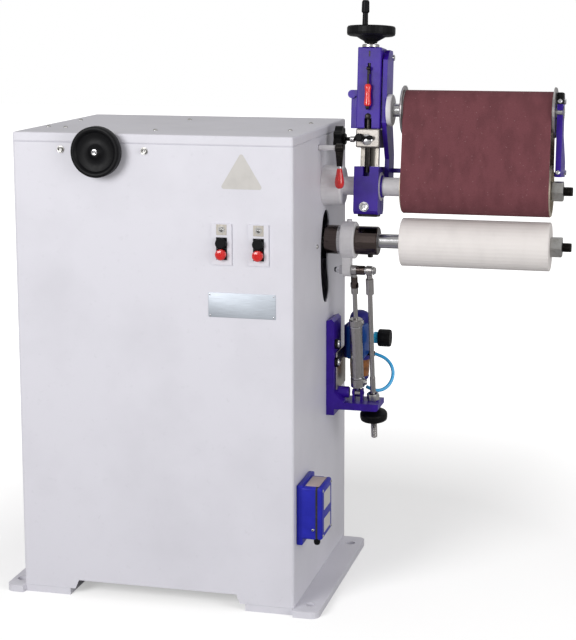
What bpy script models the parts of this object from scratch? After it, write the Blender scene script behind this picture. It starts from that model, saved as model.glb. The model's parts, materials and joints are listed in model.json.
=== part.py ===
"""Belt-over-drum sander with a swinging feed roller, modelled piece by piece.

Metres, +Z up, +Y to the back, +X towards the free end of the sanding head. Pieces are placed in cabinet
coordinates: X = 0 in the middle of the cabinet, Y = 0 on its front face and Z = 0 on top of the base rails.
The root empty carries them all to the origin, under the middle of the whole machine.
"""

import math

import bmesh
import bpy
from mathutils import Matrix, Vector

# Clearance between pieces that touch or slide on each other.
GAP = 0.0003

# Cabinet: overall size, sheet and folds.
CABINET_WIDTH = 0.612
CABINET_DEPTH = 0.497
CABINET_HEIGHT = 1.000
SHEET = 0.003
FOLD_RADIUS = 0.006
COVER_LIP = 0.022
TOE_WIDTH = 0.384
TOE_SLANT = 0.013
TOE_HEIGHT = 0.020

# Base rails under both sides of the cabinet.
RAIL_THICKNESS = 0.015
RAIL_REACH = 0.107
FLANGE_RIGHT = 0.055
FLANGE_LEFT = 0.040
FLANGE_NOSE = 0.012
FLANGE_CORNER = 0.018
ANCHOR_HOLE_RADIUS = 0.011
ANCHOR_INSET = 0.045

# Sanding drum, idler and belt.
DRUM_AXIS_Y = 0.285
DRUM_AXIS_Z = 0.870
DRUM_RADIUS = 0.0545
DRUM_WALL = 0.007
FACE_LENGTH = 0.320
HEAD_REACH = 0.1755
BELT_THICKNESS = 0.0012
BELT_MARGIN = 0.002
TENSION_TRAVEL = 0.006
IDLER_RADIUS = 0.043
CHEEK_RADIUS = 0.054
CHEEK_THICKNESS = 0.0045
CENTRE_DISTANCE = 0.166
HEAD_LEAN = math.radians(6)

# Driving spindle and its housing.
SPINDLE_RADIUS = 0.0125
TUBE_RADIUS = 0.0205
BOSS_RADIUS = 0.044
BOSS_LENGTH = 0.044
HOUSING_RADIUS = 0.034
HOUSING_INSIDE = 0.150
BEARING_RADIUS = 0.026
BEARING_WIDTH = 0.016
NOSE_BEARING_RADIUS = 0.0170
NOSE_BEARING_WIDTH = 0.014
NUT_ACROSS_FLATS = 0.0405
NUT_LENGTH = 0.0225
THREAD_RADIUS = 0.0093
THREAD_LENGTH = 0.0195
END_PLAY = 0.0020

# V-belt drive inside the cabinet.
PULLEY_X = 0.100
PULLEY_WIDTH = 0.026
MOTOR_PITCH_RADIUS = 0.045
SPINDLE_PITCH_RADIUS = 0.055
V_BELT_WIDTH = 0.012
V_BELT_THICKNESS = 0.008
MOTOR_AXIS_Y = 0.250
MOTOR_AXIS_Z = 0.225
MOTOR_RADIUS = 0.085
MOTOR_LENGTH = 0.260
MOTOR_SHAFT_RADIUS = 0.012
MOTOR_FOOT_DROP = 0.105
SHELF_THICKNESS = 0.006
SHELF_DEPTH = 0.300

# Feed roller and the arm that swings it, inside the cabinet.
ROLLER_RADIUS = 0.0525
NIP = 0.0115
FEED_SHAFT_RADIUS = 0.011
FEED_STUB_RADIUS = 0.0158
PIVOT_Y = 0.430
PIVOT_Z = 0.712
PIVOT_RADIUS = 0.012
ARM_THICKNESS = 0.018
ARM_STANDOFF = 0.022
SLOT_HALF_WIDTH = 0.034
SLOT_UP = math.radians(27)
SLOT_DOWN = math.radians(29)
HANGER_RADIUS = 0.041
HANGER_START = 0.0405
HANGER_LENGTH = 0.0315
TONGUE_THICKNESS = 0.017
TONGUE_WIDTH = 0.030
LINK_DROP = 0.067
LINK_PIN_RADIUS = 0.006
COLLAR_RADIUS = 0.0315

# Head clamp, guide and column, in the head's own frame (origin on the drum axis).
HEAD_X = 0.405
CLAMP_WIDTH = 0.054
CLAMP_HALF_DEPTH = 0.034
CLAMP_TOP = 0.043
CLAMP_BOTTOM = 0.061
CLAMP_CHAMFER = 0.008
GUIDE_WIDTH = 0.040
GUIDE_THICKNESS = 0.014
GUIDE_TOP = 0.215
SCREW_RADIUS = 0.007
SCREW_Y = -0.019
COLUMN_WIDTH = 0.052
COLUMN_DEPTH = 0.060
COLUMN_WALL = 0.0035
COLUMN_BOTTOM = 0.125
COLUMN_TOP = 0.300
SLIDE_BLOCK_HEIGHT = 0.041
ARM_PLATE = 0.010
OUTER_PLATE = 0.012
ARM_CLEARANCE = 0.0025
IDLER_SHAFT_RADIUS = 0.0145
IDLER_STUB_RADIUS = 0.0075
CROSS_BAR_Y = 0.060
CROSS_BAR_DEPTH = 0.024
CROSS_BAR_Z = 0.030
CROSS_BAR_HEIGHT = 0.010

# Handwheel and its crank.
WHEEL_RADIUS = 0.0525
WHEEL_HEIGHT = 0.036
WHEEL_STANDOFF = 0.009
COLLAR_HEIGHT = 0.006
CRANK_RADIUS = 0.0445
CRANK_ANGLE = math.radians(-96)
CRANK_LENGTH = 0.052

# Air cylinder, stop rod and the bracket that carries them.
BRACKET_Y0 = 0.300
BRACKET_Y1 = 0.372
BRACKET_LEG = 0.018
BRACKET_TOP = 0.566
SHELF_Z = 0.376
SHELF_PLATE = 0.016
SHELF_REACH = 0.119
CYLINDER_X = 0.3725
STOP_ROD_X = 0.407
BASE_PIN_Y = 0.335
BASE_PIN_Z = 0.393
BASE_PIN_RADIUS = 0.004
CYLINDER_RADIUS = 0.014
PISTON_ROD_RADIUS = 0.0053
EYE_RADIUS = 0.011
EYE_WIDTH = 0.012
PIVOT_CLEARANCE = 0.0010
STOP_ROD_RADIUS = 0.0065
STOP_ROD_LENGTH = 0.402
BUSH_CLEARANCE = 0.0020

# Air regulator, valve and hose.
REGULATOR_X = 0.362
REGULATOR_Y = 0.402
VALVE_Z = 0.508
VALVE_RADIUS = 0.020
HOSE_RADIUS = 0.004

# Front controls.
DIAL_X = -0.110
DIAL_Z = 0.963
DIAL_RADIUS = 0.0535
DIAL_THICKNESS = 0.022
DIAL_STANDOFF = 0.010
DIAL_SHAFT_RADIUS = 0.008
STATION_WIDTH = 0.043
STATION_HEIGHT = 0.086
STATION_PLATE = 0.003
STATION_Z = 0.776
STATION_LEFT_X = 0.1545
STATION_RIGHT_X = 0.2335
START_OFFSET = 0.003
STOP_OFFSET = -0.0205
BUTTON_RADIUS = 0.0115
BUTTON_BEHIND = 0.012

# Control box on the right side.
BOX_Y0 = 0.022
BOX_Y1 = 0.114
BOX_Z0 = 0.147
BOX_Z1 = 0.262
BOX_REACH = 0.056
BOX_FLANGE = 0.013
BOX_MARGIN = 0.014

# Places that follow from the sizes above.
SIDE_X = CABINET_WIDTH / 2
DRUM_LEFT = SIDE_X + HEAD_REACH
DRUM_RIGHT = DRUM_LEFT + FACE_LENGTH
BELT_INNER = DRUM_RADIUS + GAP
FEED_AXIS_Y = DRUM_AXIS_Y
FEED_AXIS_Z = DRUM_AXIS_Z - BELT_INNER - BELT_THICKNESS - NIP - ROLLER_RADIUS
THREAD_END = DRUM_RIGHT + END_PLAY + NUT_LENGTH + THREAD_LENGTH
FACE_Y = -DIAL_STANDOFF - DIAL_THICKNESS
LEFT_X = -SIDE_X - FLANGE_LEFT
ORIGIN_X = (LEFT_X + THREAD_END) / 2
ORIGIN_Y = (FACE_Y + CABINET_DEPTH) / 2
RIM_Z = COLUMN_TOP + WHEEL_STANDOFF

ALONG_X = (0, math.pi / 2, 0)
ALONG_Y = (-math.pi / 2, 0, 0)
ALONG_Z = (0, 0, 0)
PLATE_YZ = (math.pi / 2, 0, math.pi / 2)
PLATE_XZ = (math.pi / 2, 0, 0)

# Name: base colour (linear), metallic, roughness.
FINISHES = {
    "pale_grey_paint": ((0.72, 0.71, 0.76), 0.0, 0.45),
    "purple_paint": ((0.07, 0.03, 0.42), 0.0, 0.35),
    "blue_plastic": ((0.03, 0.04, 0.38), 0.0, 0.40),
    "bright_blue_plastic": ((0.02, 0.22, 0.72), 0.0, 0.35),
    "black_plastic": ((0.012, 0.012, 0.014), 0.0, 0.40),
    "red_plastic": ((0.70, 0.02, 0.02), 0.0, 0.30),
    "bright_steel": ((0.60, 0.60, 0.60), 1.0, 0.25),
    "drum_aluminium": ((0.62, 0.61, 0.58), 1.0, 0.35),
    "blackened_steel": ((0.10, 0.09, 0.085), 1.0, 0.40),
    "cast_iron": ((0.30, 0.30, 0.31), 0.6, 0.60),
    "abrasive_cloth": ((0.13, 0.045, 0.055), 0.0, 0.90),
    "white_rubber": ((0.78, 0.78, 0.76), 0.0, 0.55),
    "black_rubber": ((0.02, 0.02, 0.02), 0.0, 0.80),
    "amber_plastic": ((0.75, 0.30, 0.02), 0.0, 0.15),
}


def clear_scene():
    """Removes whatever the scene holds before the machine is built."""
    for obj in list(bpy.data.objects):
        bpy.data.objects.remove(obj, do_unlink=True)


def new_collection(name):
    collection = bpy.data.collections.new(name)
    bpy.context.scene.collection.children.link(collection)
    return collection


def finish(name):
    """The Principled material of this name, made the first time it is asked for."""
    found = bpy.data.materials.get(name)
    if found:
        return found
    colour, metallic, roughness = FINISHES[name]
    material = bpy.data.materials.new(name)
    material.use_nodes = True
    shader = material.node_tree.nodes["Principled BSDF"]
    shader.inputs["Base Color"].default_value = (*colour, 1.0)
    shader.inputs["Metallic"].default_value = metallic
    shader.inputs["Roughness"].default_value = roughness
    return material


def empty(name, location, rotation=(0, 0, 0), parent=None):
    """A frame that pieces hang on, with its origin on their joint axis."""
    frame = bpy.data.objects.new(name, None)
    frame.empty_display_size = 0.05
    frame.location = location
    frame.rotation_euler = rotation
    frame.parent = parent
    PARTS.objects.link(frame)
    return frame


def place(name, mesh, look, location=(0, 0, 0), rotation=(0, 0, 0), parent=None):
    """One sub-part, or with look None one cutting or joining tool, at its place."""
    obj = bpy.data.objects.new(name, mesh)
    obj.location = location
    obj.rotation_euler = rotation
    obj.parent = parent or ROOT
    if look:
        mesh.materials.append(finish(look))
        PARTS.objects.link(obj)
    else:
        obj.hide_render = True
        obj.display_type = "WIRE"
        CUTTERS.objects.link(obj)
    return obj


def soften(obj, width, segments=2):
    """Rounds the edges sharper than 40 degrees."""
    bevel = obj.modifiers.new("soft_edges", "BEVEL")
    bevel.width = width
    bevel.segments = segments
    bevel.limit_method = "ANGLE"
    bevel.angle_limit = math.radians(40)
    return obj


def combine(obj, tool, operation):
    boolean = obj.modifiers.new(tool.name, "BOOLEAN")
    boolean.operation = operation
    boolean.object = tool
    return obj


def cut(obj, tool):
    return combine(obj, tool, "DIFFERENCE")


def join(obj, tool):
    return combine(obj, tool, "UNION")


def box(name, look, low, high, edge=0.0, parent=None):
    """A block from its lowest to its highest corner."""
    low, high = Vector(low), Vector(high)
    shape = bmesh.new()
    bmesh.ops.create_cube(shape, size=1)
    bmesh.ops.scale(shape, vec=high - low, verts=shape.verts)
    mesh = bpy.data.meshes.new(name)
    shape.to_mesh(mesh)
    shape.free()
    obj = place(name, mesh, look, (low + high) / 2, parent=parent)
    return soften(obj, edge) if edge else obj


def rod(name, look, radius, start, end, direction=ALONG_X, at=(0, 0, 0), segments=20, parent=None):
    """A plain cylinder from start to end along its axis."""
    shape = bmesh.new()
    bmesh.ops.create_cone(
        shape,
        cap_ends=True,
        segments=segments,
        radius1=radius,
        radius2=radius,
        depth=end - start,
        matrix=Matrix.Translation((0, 0, (start + end) / 2)),
    )
    mesh = bpy.data.meshes.new(name)
    shape.to_mesh(mesh)
    shape.free()
    mesh.shade_smooth()
    mesh.set_sharp_from_angle(angle=math.radians(40))
    return place(name, mesh, look, at, direction, parent)


def turned(name, look, outer, bore=None, direction=ALONG_X, at=(0, 0, 0), segments=28, parent=None):
    """A lathe-turned piece. outer and bore are (radius, place along the axis), in rising order."""
    if bore:
        profile = list(reversed(outer)) + list(bore)
    else:
        profile = [(0, outer[-1][1])] + list(reversed(outer)) + [(0, outer[0][1])]
    count = len(profile)
    edges = [(i, i + 1) for i in range(count - 1)]
    if bore:
        edges.append((count - 1, 0))
    mesh = bpy.data.meshes.new(name)
    mesh.from_pydata([(radius, 0, along) for radius, along in profile], edges, [])
    obj = place(name, mesh, look, at, direction, parent)
    screw = obj.modifiers.new("turn", "SCREW")
    screw.steps = segments
    screw.render_steps = segments
    screw.use_merge_vertices = True
    screw.merge_threshold = 0.00005
    screw.use_smooth_shade = False
    return obj


def arc(centre, radius, start, end, steps):
    """Points on an arc between two angles in radians, both ends included."""
    turn = (end - start) / steps
    return [
        (
            centre[0] + radius * math.cos(start + turn * i),
            centre[1] + radius * math.sin(start + turn * i),
        )
        for i in range(steps + 1)
    ]


def circle(centre, radius, steps=20):
    return arc(centre, radius, 0, 2 * math.pi * (steps - 1) / steps, steps - 1)


def outline(name, look, loops, thickness, facing=ALONG_Z, at=(0, 0, 0), parent=None):
    """A flat piece cut from an outline, with its inner loops as holes, centred on its thickness."""
    curve = bpy.data.curves.new(name, "CURVE")
    curve.dimensions = "2D"
    curve.fill_mode = "BOTH"
    curve.extrude = thickness / 2
    for loop in loops:
        spline = curve.splines.new("POLY")
        spline.points.add(len(loop) - 1)
        for point, (across, along) in zip(spline.points, loop):
            point.co = (across, along, 0, 1)
        spline.use_cyclic_u = True
    carrier = bpy.data.objects.new(name + "_outline", curve)
    CUTTERS.objects.link(carrier)
    bpy.context.view_layer.update()
    evaluated = carrier.evaluated_get(bpy.context.evaluated_depsgraph_get())
    mesh = bpy.data.meshes.new_from_object(evaluated)
    bpy.data.objects.remove(carrier, do_unlink=True)
    shape = bmesh.new()
    shape.from_mesh(mesh)
    bmesh.ops.remove_doubles(shape, verts=shape.verts, dist=0.00001)
    bmesh.ops.recalc_face_normals(shape, faces=shape.faces)
    shape.to_mesh(mesh)
    shape.free()
    return place(name, mesh, look, at, facing, parent)


def hexagon(across_flats):
    corner = across_flats / 2 / math.cos(math.pi / 6)
    return arc((0, 0), corner, math.pi / 6, math.pi / 6 + math.pi * 5 / 3, 5)


def belt_loop(low_centre, low_radius, high_centre, high_radius, steps):
    """The path of a belt laid round two wheels, as points of one closed loop."""
    across = high_centre[0] - low_centre[0]
    up = high_centre[1] - low_centre[1]
    heading = math.atan2(up, across)
    spread = math.acos((low_radius - high_radius) / math.hypot(across, up))
    low = arc(low_centre, low_radius, heading + spread, heading + 2 * math.pi - spread, steps)
    high = arc(high_centre, high_radius, heading - spread, heading + spread, steps)
    return low + high


def belt(name, look, path, start_x, end_x, thickness, parent=None):
    """A band of even thickness outside the given path, running round the X axis."""
    count = len(path)
    corners = [(x, y, z) for x in (start_x, end_x) for y, z in path]
    sides = [(i, (i + 1) % count, count + (i + 1) % count, count + i) for i in range(count)]
    mesh = bpy.data.meshes.new(name)
    mesh.from_pydata(corners, [], sides)
    shape = bmesh.new()
    shape.from_mesh(mesh)
    shape.faces.ensure_lookup_table()
    middle = Vector((0, sum(y for y, z in path) / count, sum(z for y, z in path) / count))
    side = shape.faces[0]
    side.normal_update()
    if side.normal.dot(side.calc_center_median() - middle) < 0:
        bmesh.ops.reverse_faces(shape, faces=shape.faces)
    shape.to_mesh(mesh)
    shape.free()
    obj = place(name, mesh, look, parent=parent)
    solid = obj.modifiers.new("thickness", "SOLIDIFY")
    solid.thickness = thickness
    solid.offset = 1
    solid.use_even_offset = True
    return obj


def smooth_route(points, steps):
    """Points on a Catmull-Rom curve through the given points."""
    found = []
    last = len(points) - 1
    for i in range(last):
        before = Vector(points[max(i - 1, 0)])
        start, end = Vector(points[i]), Vector(points[i + 1])
        after = Vector(points[min(i + 2, last)])
        for step in range(steps):
            t = step / steps
            found.append(
                0.5
                * (
                    2 * start
                    + (end - before) * t
                    + (2 * before - 5 * start + 4 * end - after) * t * t
                    + (3 * start - before - 3 * end + after) * t**3
                )
            )
    found.append(Vector(points[-1]))
    return found


def tube(name, look, points, radius, parent=None):
    """A hose or bent rod along the given points."""
    curve = bpy.data.curves.new(name, "CURVE")
    curve.dimensions = "3D"
    curve.bevel_depth = radius
    curve.bevel_resolution = 2
    curve.use_fill_caps = True
    spline = curve.splines.new("POLY")
    spline.points.add(len(points) - 1)
    for point, place_at in zip(spline.points, points):
        point.co = (*place_at, 1)
    curve.materials.append(finish(look))
    obj = bpy.data.objects.new(name, curve)
    obj.parent = parent or ROOT
    PARTS.objects.link(obj)
    return obj


# ---------------------------------------------------------------- cabinet


def feed_slot(name):
    """The arc-shaped opening that the feed shaft swings through, round the feed arm's pivot."""
    reach = math.hypot(PIVOT_Y - FEED_AXIS_Y, FEED_AXIS_Z - PIVOT_Z)
    pivot = (PIVOT_Y, PIVOT_Z)
    top, bottom = math.pi - SLOT_UP, math.pi + SLOT_DOWN
    top_end = (PIVOT_Y + reach * math.cos(top), PIVOT_Z + reach * math.sin(top))
    bottom_end = (PIVOT_Y + reach * math.cos(bottom), PIVOT_Z + reach * math.sin(bottom))
    loop = arc(pivot, reach + SLOT_HALF_WIDTH, top, bottom, 10)
    loop += arc(bottom_end, SLOT_HALF_WIDTH, bottom, bottom + math.pi, 10)[1:-1]
    loop += arc(pivot, reach - SLOT_HALF_WIDTH, bottom, top, 10)
    loop += arc(top_end, SLOT_HALF_WIDTH, top - math.pi, top, 10)[1:-1]
    return outline(name, None, [loop], 4 * SHEET, PLATE_YZ, (SIDE_X - SHEET / 2, 0, 0))


def cabinet_body():
    """Front and both sides folded from one sheet."""
    height = CABINET_HEIGHT - COVER_LIP
    shape = bmesh.new()
    bmesh.ops.create_cube(shape, size=1)
    bmesh.ops.scale(shape, vec=(CABINET_WIDTH, CABINET_DEPTH, height), verts=shape.verts)
    bmesh.ops.translate(shape, vec=(0, CABINET_DEPTH / 2, height / 2 + GAP), verts=shape.verts)
    open_faces = [face for face in shape.faces if abs(face.normal.z) > 0.5 or face.normal.y > 0.5]
    bmesh.ops.delete(shape, geom=open_faces, context="FACES")
    folds = [
        edge
        for edge in shape.edges
        if all(vert.co.y < 0.001 for vert in edge.verts) and edge.verts[0].co.x == edge.verts[1].co.x
    ]
    bmesh.ops.bevel(shape, geom=folds, offset=FOLD_RADIUS, segments=3, affect="EDGES", profile=0.5)
    mesh = bpy.data.meshes.new("cabinet_body")
    shape.to_mesh(mesh)
    shape.free()
    body = place("cabinet_body", mesh, "pale_grey_paint")
    sheet = body.modifiers.new("sheet", "SOLIDIFY")
    sheet.thickness = SHEET
    sheet.offset = -1
    sheet.use_even_offset = True
    half = TOE_WIDTH / 2
    toe = [(-half, -0.01), (half, -0.01), (half - TOE_SLANT, TOE_HEIGHT), (TOE_SLANT - half, TOE_HEIGHT)]
    cut(body, outline("toe_cut", None, [toe], 4 * SHEET, PLATE_XZ, (0, SHEET / 2, 0)))
    cut(body, feed_slot("feed_slot_cut"))
    housing = (0, DRUM_AXIS_Y, DRUM_AXIS_Z)
    reach = (SIDE_X - 2 * SHEET, SIDE_X + 2 * SHEET)
    cut(body, rod("housing_cut", None, HOUSING_RADIUS + GAP, *reach, at=housing, segments=28))
    dial = (DIAL_X, 0, DIAL_Z)
    depth = (-2 * SHEET, 3 * SHEET)
    cut(body, rod("dial_cut", None, DIAL_SHAFT_RADIUS + GAP, *depth, ALONG_Y, dial, 24))
    lever = (0, LEVER_Y, LEVER_Z)
    cut(body, rod("lever_cut", None, LEVER_STUD_RADIUS + GAP, *reach, at=lever, segments=20))
    for side, centre in (("left", STATION_LEFT_X), ("right", STATION_RIGHT_X)):
        low = (centre - STATION_WIDTH / 2 + 0.005, -0.01, STATION_Z - STATION_HEIGHT / 2 + 0.006)
        high = (centre + STATION_WIDTH / 2 - 0.005, 0.01, STATION_Z + STATION_HEIGHT / 2 - 0.024)
        cut(body, box(f"station_cut_{side}", None, low, high))


def top_cover():
    """Lid with folded-down lips, flush with the cabinet body."""
    low = (-SIDE_X, 0, CABINET_HEIGHT - COVER_LIP + 2 * GAP)
    high = (SIDE_X, CABINET_DEPTH, CABINET_HEIGHT)
    cover = box("top_cover", "pale_grey_paint", low, high, 0.004)
    inner_low = (-SIDE_X + SHEET, SHEET, low[2] - 0.01)
    inner_high = (SIDE_X - SHEET, CABINET_DEPTH - SHEET, CABINET_HEIGHT - SHEET)
    cut(cover, box("cover_hollow", None, inner_low, inner_high))


def back_panel():
    """Rear panel between the sides, with air slots level with the motor."""
    inside = SIDE_X - SHEET - GAP
    top = CABINET_HEIGHT - COVER_LIP
    low = (-inside, CABINET_DEPTH - SHEET, GAP)
    high = (inside, CABINET_DEPTH, top)
    panel = box("back_panel", "pale_grey_paint", low, high)
    for i in range(4):
        z = MOTOR_AXIS_Z + (i - 1.5) * 0.030
        slot_low = (-0.080, CABINET_DEPTH - 3 * SHEET, z - 0.004)
        slot_high = (0.080, CABINET_DEPTH + 3 * SHEET, z + 0.004)
        cut(panel, box(f"air_slot_cut_{i}", None, slot_low, slot_high))


def base_rail(name, side, flange):
    """A thick foot plate: a flange outside the cabinet with two anchor holes, and a tongue under it."""
    inner, wall, outer = SIDE_X - RAIL_REACH, SIDE_X, SIDE_X + flange
    front, back = -FLANGE_NOSE, CABINET_DEPTH - FLANGE_NOSE
    corner = FLANGE_CORNER
    loop = [(inner, 0), (wall - 0.003, 0), (wall, front)]
    loop += arc((outer - corner, front + corner), corner, -math.pi / 2, 0, 5)
    loop += arc((outer - corner, back - corner), corner, 0, math.pi / 2, 5)
    loop += [(wall, back), (wall, CABINET_DEPTH), (inner, CABINET_DEPTH)]
    hole_x = (wall + outer) / 2
    holes = [
        circle((hole_x, ANCHOR_INSET - FLANGE_NOSE), ANCHOR_HOLE_RADIUS),
        circle((hole_x, CABINET_DEPTH - FLANGE_NOSE - ANCHOR_INSET), ANCHOR_HOLE_RADIUS),
    ]
    loops = [[(side * x, y) for x, y in points] for points in [loop] + holes]
    at = (0, 0, -RAIL_THICKNESS / 2)
    outline(name, "pale_grey_paint", loops, RAIL_THICKNESS, at=at)


def motor_shelf():
    """Shelf across the cabinet, folded down at both side walls."""
    inside = SIDE_X - SHEET - GAP
    top = MOTOR_AXIS_Z - MOTOR_FOOT_DROP
    y0 = MOTOR_AXIS_Y - SHELF_DEPTH / 2
    y1 = MOTOR_AXIS_Y + SHELF_DEPTH / 2
    lip = 0.030
    profile = [
        (-inside, top - lip),
        (-inside + SHELF_THICKNESS, top - lip),
        (-inside + SHELF_THICKNESS, top - SHELF_THICKNESS),
        (inside - SHELF_THICKNESS, top - SHELF_THICKNESS),
        (inside - SHELF_THICKNESS, top - lip),
        (inside, top - lip),
        (inside, top),
        (-inside, top),
    ]
    outline("motor_shelf", "pale_grey_paint", [profile], y1 - y0, PLATE_XZ, (0, (y0 + y1) / 2, 0))


# ---------------------------------------------------------------- front controls


def control_station(side, centre):
    """A plate on the front with a black start button over a red stop button."""
    plate_back, plate_front = -GAP, -GAP - STATION_PLATE
    low = (centre - STATION_WIDTH / 2, plate_front, STATION_Z - STATION_HEIGHT / 2)
    high = (centre + STATION_WIDTH / 2, plate_back, STATION_Z + STATION_HEIGHT / 2)
    plate = box(f"switch_plate_{side}", "pale_grey_paint", low, high)
    start_z, stop_z = STATION_Z + START_OFFSET, STATION_Z + STOP_OFFSET
    through = (plate_front - 0.005, plate_back + 0.005)
    half = BUTTON_RADIUS - 0.0020
    for name, z in (("start", start_z), ("stop", stop_z)):
        at = (centre, 0, z)
        cut(plate, rod(f"{name}_hole_{side}", None, half + GAP, *through, ALONG_Y, at, 24))
    turned(
        f"start_button_{side}",
        "black_plastic",
        [
            (BUTTON_RADIUS - 0.0020, plate_front - 0.0105),
            (BUTTON_RADIUS, plate_front - 0.0095),
            (BUTTON_RADIUS, plate_front - 0.0045),
            (half, plate_front - 0.0045),
            (half, BUTTON_BEHIND),
        ],
        direction=ALONG_Y,
        at=(centre, 0, start_z),
        segments=20,
    )
    turned(
        f"stop_button_{side}",
        "red_plastic",
        [
            (BUTTON_RADIUS * 0.45, plate_front - 0.0150),
            (BUTTON_RADIUS * 0.80, plate_front - 0.0138),
            (BUTTON_RADIUS, plate_front - 0.0110),
            (BUTTON_RADIUS, plate_front - 0.0045),
            (half, plate_front - 0.0045),
            (half, BUTTON_BEHIND),
        ],
        direction=ALONG_Y,
        at=(centre, 0, stop_z),
        segments=20,
    )


def speed_dial():
    """Dished hand dial on a shaft that goes through the front panel."""
    face = FACE_Y
    turned(
        "speed_dial",
        "black_plastic",
        [
            (0.012, face + 0.004),
            (0.018, face + 0.007),
            (DIAL_RADIUS * 0.60, face + 0.009),
            (DIAL_RADIUS * 0.80, face + 0.004),
            (DIAL_RADIUS * 0.90, face),
            (DIAL_RADIUS - 0.0015, face + 0.001),
            (DIAL_RADIUS, face + 0.004),
            (DIAL_RADIUS, face + DIAL_THICKNESS - 0.003),
            (DIAL_RADIUS - 0.003, face + DIAL_THICKNESS),
            (0.022, face + DIAL_THICKNESS),
            (0.022, -GAP),
            (DIAL_SHAFT_RADIUS, -GAP),
            (DIAL_SHAFT_RADIUS, 0.035),
        ],
        direction=ALONG_Y,
        at=(DIAL_X, 0, DIAL_Z),
        segments=36,
    )


def control_box():
    """Cast enclosure on the right side: mounting flange, box and cable gland."""
    x0 = SIDE_X + GAP
    flange_low = (x0, BOX_Y0 + 0.006, BOX_Z0 - BOX_MARGIN)
    flange_high = (x0 + BOX_FLANGE, BOX_Y1 + 0.020, BOX_Z1 + 0.002)
    box_low = (x0 + 0.002, BOX_Y0, BOX_Z0)
    box_high = (SIDE_X + BOX_REACH, BOX_Y1, BOX_Z1)
    enclosure = box("control_box", "blue_plastic", box_low, box_high, 0.004)
    join(enclosure, box("box_flange_join", None, flange_low, flange_high))
    gland_x = SIDE_X + 0.040
    gland_y = BOX_Y0 + 0.022
    gland_top = BOX_Z0 - GAP
    turned(
        "cable_gland",
        "black_plastic",
        [
            (0.004, gland_top - 0.016),
            (0.0065, gland_top - 0.014),
            (0.0065, gland_top - 0.007),
            (0.009, gland_top - 0.006),
            (0.009, gland_top),
        ],
        bore=[(0.0028, gland_top - 0.016), (0.0028, gland_top)],
        direction=ALONG_Z,
        at=(gland_x, gland_y, 0),
        segments=20,
    )


# ---------------------------------------------------------------- drive


def pulley_outline(pitch, centre, half_width):
    """Outer profile of a one-groove pulley that holds the V-belt."""
    rim = pitch + V_BELT_THICKNESS / 2 + 0.001
    groove = pitch - V_BELT_THICKNESS / 2 - GAP
    half_belt = V_BELT_WIDTH / 2 + GAP
    return [
        (rim, centre - half_width),
        (rim, centre - half_belt),
        (groove, centre - half_belt),
        (groove, centre + half_belt),
        (rim, centre + half_belt),
        (rim, centre + half_width),
    ]


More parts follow.
